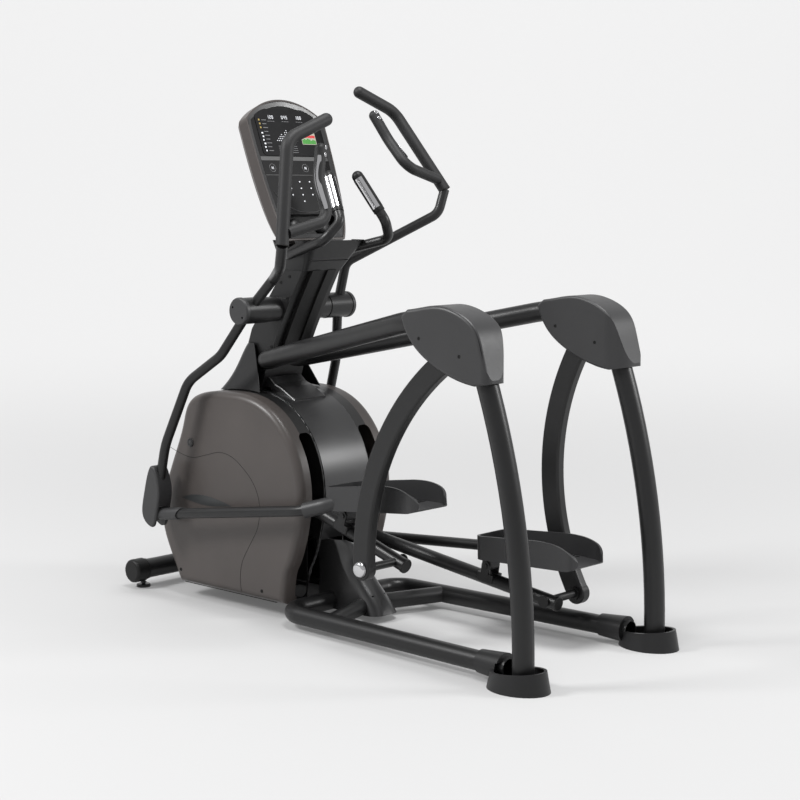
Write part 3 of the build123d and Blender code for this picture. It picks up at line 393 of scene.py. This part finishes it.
def bead(path: np.ndarray, radius: float, closed: bool, sides: int = 8) -> tuple:
    """A round bead along a path: point = path(t) + radius * (cos(a) * n(t) + sin(a) * b(t)).

    Args:
        path: Points along the middle line.
        radius: The bead's radius; it tapers to nothing at the two ends of an open path.
        closed: Whether the path runs back to its start.
        sides: Facets around.

    Returns:
        The points and the faces.
    """
    step = np.roll(path, -1, 0) - np.roll(path, 1, 0) if closed else np.gradient(path, axis=0)
    step /= np.linalg.norm(step, axis=1)[:, None]
    guide = np.array([0.0, 1.0, 0.0]) if abs(step[:, 1]).mean() < 0.6 else np.array([1.0, 0.0, 0.0])
    if closed:
        guide = np.cross(path, np.roll(path, -1, 0)).sum(0)
    normal = np.cross(step, guide)
    normal /= np.linalg.norm(normal, axis=1)[:, None]
    side = np.cross(step, normal)
    turn = np.linspace(0, 2 * np.pi, sides, endpoint=False)
    reach = np.full(len(path), radius)
    if not closed:
        reach[[0, -1]] = radius * 0.02
    ring = np.cos(turn)[None, :, None] * normal[:, None] + np.sin(turn)[None, :, None] * side[:, None]
    points = (path[:, None] + reach[:, None, None] * ring).reshape(-1, 3)
    faces = grid_faces(len(path), sides, closed)
    return points, outwards(points, faces)


def turned_solid(centre: Vector, axis: Vector, profile: list[tuple[float, float]], sides: int = 40) -> tuple:
    """A turned shape: point = centre + h * axis + r * (cos(a) * u + sin(a) * v) along a profile of (r, h).

    Args:
        centre: A point on the axis.
        axis: The unit axis.
        profile: Pairs of radius and height, from pole to pole.
        sides: Facets around.

    Returns:
        The points and the faces.
    """
    u = axis.orthogonal().normalized()
    v = axis.cross(u)
    turn = np.linspace(0, 2 * np.pi, sides, endpoint=False)
    radial = np.cos(turn)[:, None] * np.array(u) + np.sin(turn)[:, None] * np.array(v)
    r, h = np.array(profile, float).T
    r = np.maximum(r, 2e-6)
    points = np.array(centre) + h[:, None, None] * np.array(axis) + r[:, None, None] * radial[None]
    points = points.reshape(-1, 3)
    return points, outwards(points, grid_faces(len(profile), sides, False))


def smooth_path(points: list[tuple[float, float]], count: int) -> np.ndarray:
    """A smooth plane curve through points: a Catmull-Rom cubic in each span.

    Args:
        points: The points to pass through.
        count: Samples in all.

    Returns:
        The samples, one row each.
    """
    p = np.array([points[0], *points, points[-1]], float)
    t = np.linspace(0, len(points) - 1 - 1e-9, count)
    k, f = t.astype(int), (t % 1)[:, None]
    a, b, c, d = p[k], p[k + 1], p[k + 2], p[k + 3]
    return 0.5 * (2 * b + (c - a) * f + (2 * a - 5 * b + 4 * c - d) * f**2 + (3 * b - a - 3 * c + d) * f**3)


# ------------------------------------------------------------------ console
@dataclass
class Console:
    """The display: bezel, printed keys, digits and the small graph screen."""

    lean: float = math.radians(20.5)
    half: float = 0.172
    tall: float = 0.478
    face_depth: float = 0.004
    lens_depth: float = 0.0026
    proud: float = 0.0004
    body: str = "frame"
    foot: np.ndarray = field(init=False)

    def __post_init__(self) -> None:
        """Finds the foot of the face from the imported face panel."""
        low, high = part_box("console_face")
        inset = 0.0062
        s, c = math.sin(self.lean), math.cos(self.lean)
        self.foot = np.array([high.x + s * inset + c * self.face_depth, 0.0, low.z - c * inset + s * 0.030])
        self.across = np.array([0.0, 1.0, 0.0])
        self.up = np.array([-s, 0.0, c])
        self.out = np.array([c, 0.0, s])

    def spot(self, x: object, y: object, depth: float) -> np.ndarray:
        """A point on the face, from the foot: x across, y up, depth below the rim."""
        x, y = np.atleast_1d(x).astype(float), np.atleast_1d(y).astype(float)
        return self.foot + x[:, None] * self.across + y[:, None] * self.up - depth * self.out

    def marks(self, name: str, rows: list[tuple[float, float, float, float]], depth: float,
              finish: str) -> None:
        """One piece made of flat marks.

        Args:
            name: The piece's name.
            rows: Left, bottom, width and height of each mark, in millimetres.
            depth: The depth of the surface that they lie on.
            finish: Their finish.
        """
        left, bottom, width, height = np.array(rows, float).T * MM
        origins = self.spot(left, bottom, depth + 0.0002)
        made = slabs(origins, width[:, None] * self.across, height[:, None] * self.up,
                     np.repeat((self.proud + 0.0002) * self.out[None], len(rows), 0))
        piece(name, *made, finish, self.body)

    def outline(self, inset: float, count: int = 160) -> np.ndarray:
        """The bezel line: sides that narrow to the foot, and an arched top.

        Args:
            inset: Distance inside the console's own outline, in metres.
            count: Samples in all.

        Returns:
            Pairs of x and y on the face.
        """
        h, t = self.half - inset, self.tall - inset
        side = [(h - 0.046, inset), (h - 0.022, 0.07), (h - 0.008, 0.16), (h, 0.30), (h, self.tall - 0.085)]
        arch = [(h * 0.92, self.tall - 0.052 - inset * 0.6), (h * 0.55, t - 0.016), (0.0, t)]
        right = side + arch
        left = [(-x, y) for x, y in right[-2::-1]]
        return smooth_path(right + left, count)

    def bezel(self) -> None:
        """A sloping ring inside the rim: each section is a four-sided bar between two outlines."""
        outer, inner = self.outline(0.0075), self.outline(0.021)
        rings = [(outer, 0.0003), (inner, self.face_depth - 0.0006), (inner, self.face_depth + 0.0004),
                 (outer, self.face_depth + 0.0004)]
        points = np.stack([self.spot(line[:, 0], line[:, 1], depth) for line, depth in rings], 1)
        faces = grid_faces(len(outer), len(rings), True)
        points = points.reshape(-1, 3)
        piece("console_bezel", points, outwards(points, faces), "grey_bevel", self.body)

    def digits(self) -> None:
        """Three groups of three seven-segment digits along the top."""
        lit = {0: "abcdef", 1: "bc", 2: "abged", 4: "fgbc", 5: "afgcd", 7: "abc", 8: "abcdefg"}
        w, h, t = 6.0, 11.0, 1.5
        bars = {"a": (0, h - t, w, t), "d": (0, 0, w, t), "g": (0, h / 2 - t / 2, w, t),
                "f": (0, h / 2, t, h / 2), "e": (0, 0, t, h / 2), "b": (w - t, h / 2, t, h / 2),
                "c": (w - t, 0, t, h / 2)}
        rows = []
        for centre, number in ((-62, (1, 2, 0)), (0, (0, 4, 5)), (62, (1, 0, 8))):
            for place, digit in enumerate(number):
                x = centre - 14 + 9.6 * place
                rows += [(x + a, 412 + b, c, d) for a, b, c, d in (bars[k] for k in lit[digit])]
        self.marks("console_digits", rows, self.lens_depth, "led_white")
        under = [(centre - 16 + 8 * k, 402, 5, 2) for centre in (-62, 0, 62) for k in range(4)]
        self.marks("console_unit_marks", under, self.lens_depth, "print_grey")

    def icons(self) -> None:
        """Columns of small marks on the left, amber above and white below, and a dotted profile."""
        rows = [(-118, 404 - 13 * k, 6, 6) for k in range(3)]
        self.marks("console_amber_icons", rows, self.lens_depth, "led_amber")
        rows = [(-118 + 1.5 * (k % 2), 360 - 12 * k, 7 - (k % 3), 5) for k in range(6)]
        self.marks("console_white_icons", rows, self.lens_depth, "led_white")
        rows = [(-104, 405.5 - 13 * k, 20 - 3 * (k % 2), 2.2) for k in range(9)]
        self.marks("console_icon_labels", rows, self.lens_depth, "print_grey")
        steps = (1, 2, 3, 4, 3, 5, 6, 4, 3, 2, 4, 2)
        rows = [(-58 + 8 * k, 336 + 7 * j, 3, 3) for k, n in enumerate(steps) for j in range(n)]
        self.marks("console_profile_dots", rows, self.lens_depth, "led_white")
        rows = [(-58, 318 - 7 * k, 82, 1.4) for k in range(4)]
        self.marks("console_text_bars", rows, self.lens_depth, "print_grey")

    def graph_screen(self) -> None:
        """The small colour screen: a pale field with red and green bands."""
        self.marks("graph_field", [(52, 326, 64, 44)], self.lens_depth, "screen_pale")
        above = self.lens_depth - self.proud
        heights = (14, 17, 15, 19, 16, 12, 15, 13)
        green = [(54 + 7.5 * k, 328, 7.0, h) for k, h in enumerate(heights)]
        self.marks("graph_green", green, above, "led_green")
        red = [(54 + 7.5 * k, 344 + h / 3, 7.0, 9) for k, h in enumerate(heights)]
        self.marks("graph_red", red, above, "led_red")

    def keys(self) -> None:
        """Silver strip, a row of four round buttons, a thin line and the lower keypad."""
        self.marks("console_strip", [(-148, 270, 296, 13)], self.face_depth, "silver_strip")
        self.marks("console_thin_line", [(-144, 220, 288, 1.6)], self.face_depth, "silver_strip")
        self.marks("button_row", [(-146, 224, 292, 42)], self.face_depth, "panel_black")
        above = self.face_depth - self.proud
        turn = np.linspace(0, 2 * np.pi, 40, endpoint=False)
        for index, x in enumerate((-108, -36, 36, 108)):
            ring = self.spot((x + 13 * np.cos(turn)) * MM, (245 + 13 * np.sin(turn)) * MM, above)
            piece(f"button_ring_{index + 1}", *bead(ring, 0.0007, True), "print_grey", self.body)
        rows = [(x - 4 + 3.2 * k, 240 + 2 * (k % 2), 1.6, 9 - 3 * (k % 2)) for x in (-108, -36, 36, 108)
                for k in range(3)]
        self.marks("button_icons", rows, above, "led_white")
        rows = [(-52 + 44 * (k % 3), 196 - 22 * (k // 3), 5, 4) for k in range(12) if k not in (9, 11)]
        self.marks("keypad_marks", rows, self.face_depth, "led_white")
        bow = np.linspace(-1, 1, 60)
        arc = self.spot(0.132 * bow, 0.094 + 0.075 * np.abs(bow) ** 2.6, self.face_depth)
        piece("keypad_edge", *bead(arc, 0.0016, False), "grey_bevel", self.body)

    def holders(self) -> None:
        """Two domed bottle rests in the lower recess."""
        dome = [(0.0, 0.021), (0.012, 0.020), (0.022, 0.015), (0.028, 0.006), (0.029, 0.0), (0.0, 0.0)]
        for index, x in enumerate((-0.058, 0.058)):
            centre = Vector(self.spot(x, 0.050, 0.0255)[0])
            made = turned_solid(centre, Vector(self.out), dome)
            piece(f"bottle_rest_{index + 1}", *made, "dark_cover", self.body)

    def build(self) -> None:
        """Finishes the console's nodes and adds its pieces."""
        PAINT.coat_nodes("warm_back", "console_back")
        PAINT.coat_nodes("panel_black", "console_face")
        PAINT.coat_nodes("lens", "console_screen")
        PAINT.coat_nodes("dark_cover", "console_tray")
        for step in (self.bezel, self.digits, self.icons, self.graph_screen, self.keys, self.holders):
            step()


# ------------------------------------------------------------------ housing
@dataclass
class Housing:
    """Side shells, centre shroud, tail and neck, with their seams, plugs and badge."""

    body: str = "frame"
    seam_line: tuple = ((-0.764, 0.505), (-0.704, 0.486), (-0.635, 0.475), (-0.565, 0.490), (-0.497, 0.506),
                        (-0.436, 0.496), (-0.386, 0.467), (-0.341, 0.428), (-0.313, 0.380), (-0.307, 0.329),
                        (-0.320, 0.273), (-0.357, 0.216), (-0.391, 0.160), (-0.402, 0.109), (-0.398, 0.060))
    plug: tuple[float, float] = (-0.641, 0.524)
    screws: tuple = ((-0.700, 0.088), (-0.300, 0.076))
    badge: tuple[float, float, float, float] = (-0.690, 0.334, 0.250, 0.026)
    spread: float = 0.0015

    def rim(self, node: str, y: float, samples: int = 220) -> np.ndarray:
        """The outline of a node's rim: its points near a plane, sorted by angle and sampled evenly.

        Args:
            node: The CAD node.
            y: The plane's place along Y.
            samples: Points on the outline.

        Returns:
            The outline, one row for each point.
        """
        co = np.array([v.co for v in frame["nodes"][node].data.vertices], float)
        co = co[np.abs(co[:, 1] - y) < self.spread]
        middle = (co.max(0) + co.min(0)) / 2
        gap = co - middle
        angle = np.arctan2(gap[:, 2], gap[:, 0])
        reach = np.hypot(gap[:, 0], gap[:, 2])
        bins = np.round((angle + np.pi) / (2 * np.pi) * 360).astype(int)
        best = np.array([reach[bins == b].max() if (bins == b).any() else np.nan for b in range(360)])
        known = ~np.isnan(best)
        turn = np.linspace(-np.pi, np.pi, samples, endpoint=False)
        grid = (np.arange(360)[known] / 360 * 2 * np.pi) - np.pi
        out = np.interp(turn, grid, best[known], period=2 * np.pi)
        x = middle[0] + out * np.cos(turn)
        z = middle[2] + out * np.sin(turn)
        return np.stack([x, np.full(samples, y), z], 1)

    def seams(self, side: str, sign: float) -> None:
        """The curved parting line and the black line along the shell's lower edge.

        Args:
            side: Left or right.
            sign: The side's sign along Y.
        """
        low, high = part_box(f"{side}_side_shell")
        face = low.y if sign < 0 else high.y
        line = smooth_path(list(self.seam_line), 150)
        path = np.stack([line[:, 0], np.full(len(line), face), line[:, 1]], 1)
        piece(f"{side}_parting_line", *bead(path, 0.0008, False, 6), "seam", self.body)
        x = np.linspace(low.x + 0.12, high.x - 0.11, 50)
        foot = np.stack([x, np.full(50, face - sign * 0.0015), np.full(50, low.z + 0.004)], 1)
        piece(f"{side}_shell_edge", *bead(foot, 0.0016, False, 8), "seam", self.body)

    def fittings(self, side: str, sign: float) -> None:
        """A round plug, two screws and a blank leaf-shaped badge.

        Args:
            side: Left or right.
            sign: The side's sign along Y.
        """
        low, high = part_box(f"{side}_side_shell")
        face = low.y if sign < 0 else high.y
        out = Vector((0.0, sign, 0.0))
        stud = [(0.0, 0.0026), (0.007, 0.0024), (0.0085, 0.0008), (0.0105, 0.0006), (0.0125, 0.0030),
                (0.0140, 0.0028), (0.0150, 0.0002), (0.0150, -0.0010), (0.0, -0.0010)]
        centre = Vector((self.plug[0], face, self.plug[1]))
        piece(f"{side}_shell_plug", *turned_solid(centre, out, stud), "grey_bevel", self.body)
        head = [(0.0, 0.0004), (0.0022, 0.0004), (0.0028, 0.0016), (0.0052, 0.0014), (0.0060, 0.0),
                (0.0060, -0.001), (0.0, -0.001)]
        for index, (x, z) in enumerate(self.screws):
            made = turned_solid(Vector((x, face, z)), out, head, 24)
            piece(f"{side}_shell_screw_{index + 1}", *made, "seam", self.body)
        x0, z0, long, high_ = self.badge
        t = np.linspace(0, 1, 48)
        top = z0 + high_ * np.sin(np.pi * t) ** 0.8 * (1.0 - 0.45 * t)
        bottom = z0 - 0.012 * np.sin(np.pi * t) ** 1.2
        x = x0 + long * t
        y = face + sign * 0.0006
        back = face - sign * 0.0006
        corners = ((y, top), (y, bottom), (back, bottom), (back, top))
        ring = [np.stack([x, np.full(48, depth), height], 1) for depth, height in corners]
        points = np.stack(ring, 1).reshape(-1, 3)
        faces = grid_faces(48, 4, False)
        piece(f"{side}_blank_badge", points, outwards(points, faces), "badge", self.body)

    def rims(self, side: str, sign: float) -> None:
        """Two fine beads where the side shell meets the centre shroud; their light grey is a painted
        highlight along the rim, on real beads that also catch the lamps.

        Args:
            side: Left or right.
            sign: The side's sign along Y.
        """
        low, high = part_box(f"{side}_side_shell")
        inner = high.y if sign < 0 else low.y
        outline = self.rim(f"{side}_side_shell", inner)
        keep = outline[outline[:, 2] > low.z + 0.05]
        start = np.argmin(keep[:, 2] + (keep[:, 0] > keep[:, 0].mean()) * 9)
        keep = np.roll(keep, -start, 0)
        for index, shift in enumerate((0.0, 0.006)):
            path = keep + np.array([0.0, -sign * shift, 0.0])
            # the beads' light grey is a painted highlight line along the rim
            piece(f"{side}_rim_highlight_bead_{index + 1}", *bead(path, 0.0014, False, 8), "rim_highlight_bead", self.body)

    def build(self) -> None:
        """Finishes the housing's nodes and adds its pieces."""
        PAINT.coat_nodes("gloss_black", "centre_shroud")
        PAINT.coat_nodes("gloss_black", "shroud_tail")
        PAINT.coat_nodes("dark_cover", "neck_cover")
        for side, sign in SIDES:
            PAINT.coat_nodes("warm_shell", f"{side}_side_shell")
            self.seams(side, sign)
            self.fittings(side, sign)
            self.rims(side, sign)


# ------------------------------------------------------------------ handlebars and pedals
@dataclass
class Handlebar:
    """A moving handlebar: seam rings on its foam and a chrome contact strip on the inner grip."""

    side: str
    sign: float
    pivot: tuple[float, float, float] = (-0.357, 0.0, 0.974)
    foam_start: tuple[float, float, float] = (0.408, -0.437, 0.220)
    inner_run: tuple = ((0.4255, -0.268, 0.322), (0.3925, -0.272, 0.405), (0.3865, -0.2595, 0.480))
    inner_radius: float = 0.0175
    foam_radius: float = 0.0195

    def place(self, local: np.ndarray) -> np.ndarray:
        """Carries points from the foremost bar's own frame to this side, at rest.

        Args:
            local: Points about the bar's pivot, one row each.

        Returns:
            The same points in the row frame.
        """
        angle = 0.0 if self.side == "left" else -self.swing()
        c, s = math.cos(angle), math.sin(angle)
        x, y, z = local.T
        turned = np.stack([x * c + z * s, -self.sign * y, -x * s + z * c], 1)
        return turned + np.array(self.pivot)

    def swing(self) -> float:
        """The bar's whole travel, in radians, from the record."""
        joint = next(j for j in frame["record"]["behaviour"]["joints"] if j["name"] == "left_bar_pivot")
        return math.radians(max(abs(v) for v in joint["range_deg"]))

    def seam_ring(self) -> None:
        """A ring where the foam starts: a circle round the tube's middle line."""
        turn = np.linspace(0, 2 * np.pi, 40, endpoint=False)
        radius = self.foam_radius - 0.0002
        ring = np.array(self.foam_start) + radius * np.stack(
            [np.cos(turn), np.sin(turn) * 0.98, np.sin(turn) * -0.19], 1)
        piece(f"{self.side}_foam_ring", *bead(self.place(ring), 0.0012, True), "seam", f"{self.side}_bar")

    def contact_strip(self) -> None:
        """A chrome strip that hugs the inner grip: radius and angle give each point of a curved plate."""
        line = np.stack([smooth_path([(p[2], p[k]) for p in self.inner_run], 60)[:, 1] for k in (0, 1)], 1)
        height = smooth_path([(p[2], p[0]) for p in self.inner_run], 60)[:, 0]
        path = np.column_stack([line, height])
        along = np.gradient(path, axis=0)
        along /= np.linalg.norm(along, axis=1)[:, None]
        facing = np.array([0.62, -0.78, 0.0])
        facing = facing - along * (along @ facing)[:, None]
        facing /= np.linalg.norm(facing, axis=1)[:, None]
        square = np.cross(along, facing)
        taper = np.sin(np.pi * np.linspace(0.04, 0.96, 60)) ** 0.35
        angles = np.linspace(-0.55, 0.55, 9)
        reach = self.inner_radius + np.repeat([0.0006, -0.0006], 9)
        spin = np.concatenate([angles, angles[::-1]])[None, :] * taper[:, None]
        shape = np.cos(spin)[..., None] * facing[:, None] + np.sin(spin)[..., None] * square[:, None]
        points = self.place((path[:, None] + reach[None, :, None] * shape).reshape(-1, 3))
        faces = outwards(points, grid_faces(60, 18, False))
        piece(f"{self.side}_contact_strip", points, faces, "chrome", f"{self.side}_bar")

    def build(self) -> None:
        """Finishes the bar's nodes and adds its pieces."""
        PAINT.coat_nodes("powder_coat", f"{self.side}_handlebar")
        PAINT.coat_nodes("foam", f"{self.side}_grip")
        PAINT.coat_nodes("grey_cover", f"{self.side}_joint_shell", f"{self.side}_hub_cap")
        PAINT.coat_nodes("chrome", f"{self.side}_upper_button", f"{self.side}_lower_button")
        self.seam_ring()
        self.contact_strip()


@dataclass
class Pedal:
    """A foot tray and its tube, with a moulded sleeve at the tube's front end."""

    side: str
    sign: float
    sleeve: float = 0.105
    slant: float = 0.014
    tube: float = 0.017
    dome_flat: float = 0.013
    dome_round: float = 0.011
    dome_wall: float = 0.0004

    def sleeve_piece(self) -> None:
        """A slanted sleeve: x = start + t * (length + slant * cos(a)), r from the tube out to the sleeve."""
        low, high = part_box(f"{self.side}_pedal_tube")
        eye = np.array([low.x + 0.021, self.sign * 0.280, high.z])
        co = np.array([v.co for v in frame["nodes"][f"{self.side}_pedal_tube"].data.vertices], float)
        front = co[co[:, 0] < low.x + 0.05]
        eye[2] = (front[:, 2].max() + front[:, 2].min()) / 2
        far = co[(co[:, 0] > low.x + 0.45) & (co[:, 0] < low.x + 0.75)]
        aim = np.array([far[:, 0].mean(), far[:, 1].mean(), far[:, 2].mean()]) - eye
        aim[1] *= 0.35
        aim /= np.linalg.norm(aim)
        side = np.cross(aim, np.array([0.0, 0.0, 1.0]))
        side /= np.linalg.norm(side)
        up = np.cross(side, aim)
        turn = np.linspace(0, 2 * np.pi, 40, endpoint=False)
        rows = []
        for t, r in ((0.0, self.tube + 0.0004), (0.0, self.tube + 0.0030), (0.9, self.tube + 0.0034),
                     (1.0, self.tube + 0.0020), (1.0, self.tube + 0.0004)):
            x = 0.026 + t * (self.sleeve + self.slant * np.cos(turn - self.sign * 0.8))
            ring = eye + x[:, None] * aim + r * (np.cos(turn)[:, None] * up + np.sin(turn)[:, None] * side)
            rows.append(ring)
        points = np.stack(rows).reshape(-1, 3)
        faces = outwards(points, grid_faces(len(rows), 40, True))
        piece(f"{self.side}_tube_sleeve", points, faces, "grey_cover", f"{self.side}_pedal")

    def dome(self) -> None:
        """A chrome cap over the shaft's domed end: r = flat + round * sin(a), h = round * (cos(a) - 1)."""
        low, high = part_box(f"{self.side}_lower_shaft")
        end = low.y if self.sign < 0 else high.y
        centre = Vector(((low.x + high.x) / 2, end, (low.z + high.z) / 2))
        turn = np.linspace(0.12, np.pi / 2, 9)
        radius = self.dome_flat + (self.dome_round + self.dome_wall) * np.sin(turn)
        height = (self.dome_round + self.dome_wall) * np.cos(turn) - self.dome_round
        foot = -self.dome_round - self.dome_wall
        profile = [(0.0, 0.0011), (0.006, 0.0010), (0.0115, 0.0006), *zip(radius.tolist(), height.tolist()),
                   (self.dome_flat + self.dome_round, foot), (0.0, foot)]
        made = turned_solid(centre, Vector((0.0, self.sign, 0.0)), profile)
        piece(f"{self.side}_shaft_dome", *made, "chrome", f"{self.side}_arm")

    def build(self) -> None:
        """Finishes the pedal's nodes and adds its sleeve and dome."""
        for name in ("pedal_tube", "main_link", "swing_arm", "lower_shaft"):
            PAINT.coat_nodes("powder_coat", f"{self.side}_{name}")
        PAINT.coat_nodes("grey_cover", f"{self.side}_pedal_tray")
        self.sleeve_piece()
        self.dome()


@dataclass
class Frame:
    """The standing frame: tubes, covers, boots, mast, fixed handle and the drive inside."""

    def build(self) -> None:
        """Finishes the fixed nodes."""
        for side, _ in SIDES:
            PAINT.coat_nodes("powder_coat", f"{side}_base_rail", f"{side}_arch_tube")
            PAINT.coat_nodes("grey_cover", f"{side}_corner_cover")
            PAINT.coat_nodes("dark_cover", f"{side}_boot")
        PAINT.coat_nodes("powder_coat", "front_stabilizer", "chassis", "mast_column", "pivot_housing",
                         "fixed_handle", "crank_arms", "levelling_feet")
        PAINT.coat_nodes("dark_cover", "crank_pulley")
        PAINT.coat_nodes("black_plastic", "stabilizer_caps", "mast_rear_cover", "brake_magnet", "pulse_grips",
                         "frame_screws")
        PAINT.coat_nodes("chrome", "pulse_plates")
        PAINT.coat_nodes("steel", "swing_pivot_shafts", "handlebar_axle", "crank_axle",
                         "drive_bearings")
        PAINT.coat_nodes("iron", "flywheel")
        PAINT.coat_nodes("belt", "drive_belt")


# ------------------------------------------------------------------ studio
@dataclass
class Studio:
    """Pale sweep, soft lights and the camera."""

    floor_shade: float = 0.46
    near_glow: float = 0.10
    far_glow: float = 0.56
    glow_reach: float = 5.0
    sweep_back: float = 9.0
    sweep_round: float = 4.0
    lens: float = 78.61

    def sweep(self) -> None:
        """Floor and wall as one sheet: z rises as a quarter circle past the flat part."""
        t = np.linspace(0, 1, 60)
        flat = np.linspace(9.0, -self.sweep_back, 20)
        bend = np.pi / 2 * t
        run = np.concatenate([flat, -self.sweep_back - self.sweep_round * np.sin(bend)[1:],
                              np.full(6, -self.sweep_back - self.sweep_round)])
        rise = np.concatenate([np.zeros(20), self.sweep_round * (1 - np.cos(bend))[1:],
                               self.sweep_round + np.linspace(1, 9, 6)])
        width = np.linspace(-16, 16, 9)
        a = math.atan2(3.928, -3.764) + math.pi
        fore, aside = np.array([-math.cos(a), -math.sin(a), 0]), np.array([-math.sin(a), math.cos(a), 0])
        level = run[:, None, None] * -fore + width[None, :, None] * aside
        points = level + rise[:, None, None] * np.array([0, 0, 1.0])
        rows, cols = len(run), len(width)
        i, j = np.meshgrid(np.arange(rows - 1), np.arange(cols - 1), indexing="ij")
        i, j = i.ravel(), j.ravel()
        faces = np.stack([i * cols + j, i * cols + j + 1, (i + 1) * cols + j + 1, (i + 1) * cols + j], 1)
        mesh = bpy.data.meshes.new("studio_sweep")
        mesh.from_pydata(points.reshape(-1, 3).tolist(), [], faces.tolist())
        mesh.polygons.foreach_set("use_smooth", np.ones(len(mesh.polygons), bool))
        obj = bpy.data.objects.new("studio_sweep", mesh)
        bpy.context.scene.collection.objects.link(obj)
        graph = Graph("studio_paper")
        shade = self.floor_shade
        graph.set(Base_Color=(shade, shade, shade, 1.0), Roughness=1.0, Specular_IOR_Level=0.0)
        reach = graph.node("ShaderNodeVectorMath", {"operation": "LENGTH"}, {0: graph.place()}, 1)
        falloff = graph.node("ShaderNodeMath", {"operation": "EXPONENT"},
                             {0: (reach * (1 / self.glow_reach)) ** 2.0 * -1.0})
        near, far = (tuple([value] * 3) + (1.0,) for value in (self.near_glow, self.far_glow))
        graph.set(Emission_Color=graph.blend(falloff, far, near), Emission_Strength=1.0)
        mesh.materials.append(graph.material)

    def light(self, name: str, place: tuple, aim: tuple, size: float, power: float) -> None:
        """Adds one soft area light, aimed at a point.

        Args:
            name: Its name.
            place: Where it stands.
            aim: The point that it faces.
            size: The disk's diameter.
            power: Its power in watts.
        """
        data = bpy.data.lights.new(name, "AREA")
        data.shape = "DISK"
        data.size = size
        data.energy = power
        lamp = bpy.data.objects.new(name, data)
        lamp.location = place
        lamp.rotation_euler = (Vector(aim) - Vector(place)).to_track_quat("-Z", "Y").to_euler()
        bpy.context.scene.collection.objects.link(lamp)

    def camera(self) -> None:
        """The camera, level, above the user's left rear corner."""
        data = bpy.data.cameras.new("camera")
        data.lens = self.lens
        data.sensor_width = 36.0
        eye = bpy.data.objects.new("camera", data)
        eye.location = (3.764, -3.928, 1.356)
        eye.rotation_euler = (math.pi / 2 - 0.12, 0.0, 0.749)
        bpy.context.scene.collection.objects.link(eye)
        bpy.context.scene.camera = eye

    def build(self) -> None:
        """Sets the whole studio."""
        self.sweep()
        self.camera()
        world = bpy.data.worlds.new("studio")
        world.use_nodes = True
        back = world.node_tree.nodes["Background"]
        back.inputs["Color"].default_value = (0.94, 0.94, 0.95, 1.0)
        back.inputs["Strength"].default_value = 0.55
        bpy.context.scene.world = world
        bpy.context.scene.view_settings.view_transform = "Standard"
        self.light("key", (-2.6, -4.2, 4.6), (0.0, 0.0, 0.7), 1.8, 250.0)
        self.light("top", (0.9, -0.4, 4.8), (0.1, 0.0, 0.3), 1.8, 140.0)
        self.light("rear", (4.4, 3.4, 3.0), (0.0, 0.0, 0.6), 1.6, 130.0)


def main() -> None:
    """Builds every sub-assembly in order."""
    logging.basicConfig(level=logging.INFO, format="%(message)s")
    Frame().build()
    Housing().build()
    Console().build()
    for side, sign in SIDES:
        Handlebar(side, sign).build()
        Pedal(side, sign).build()
    Studio().build()


if __name__ == "__main__":
    main()
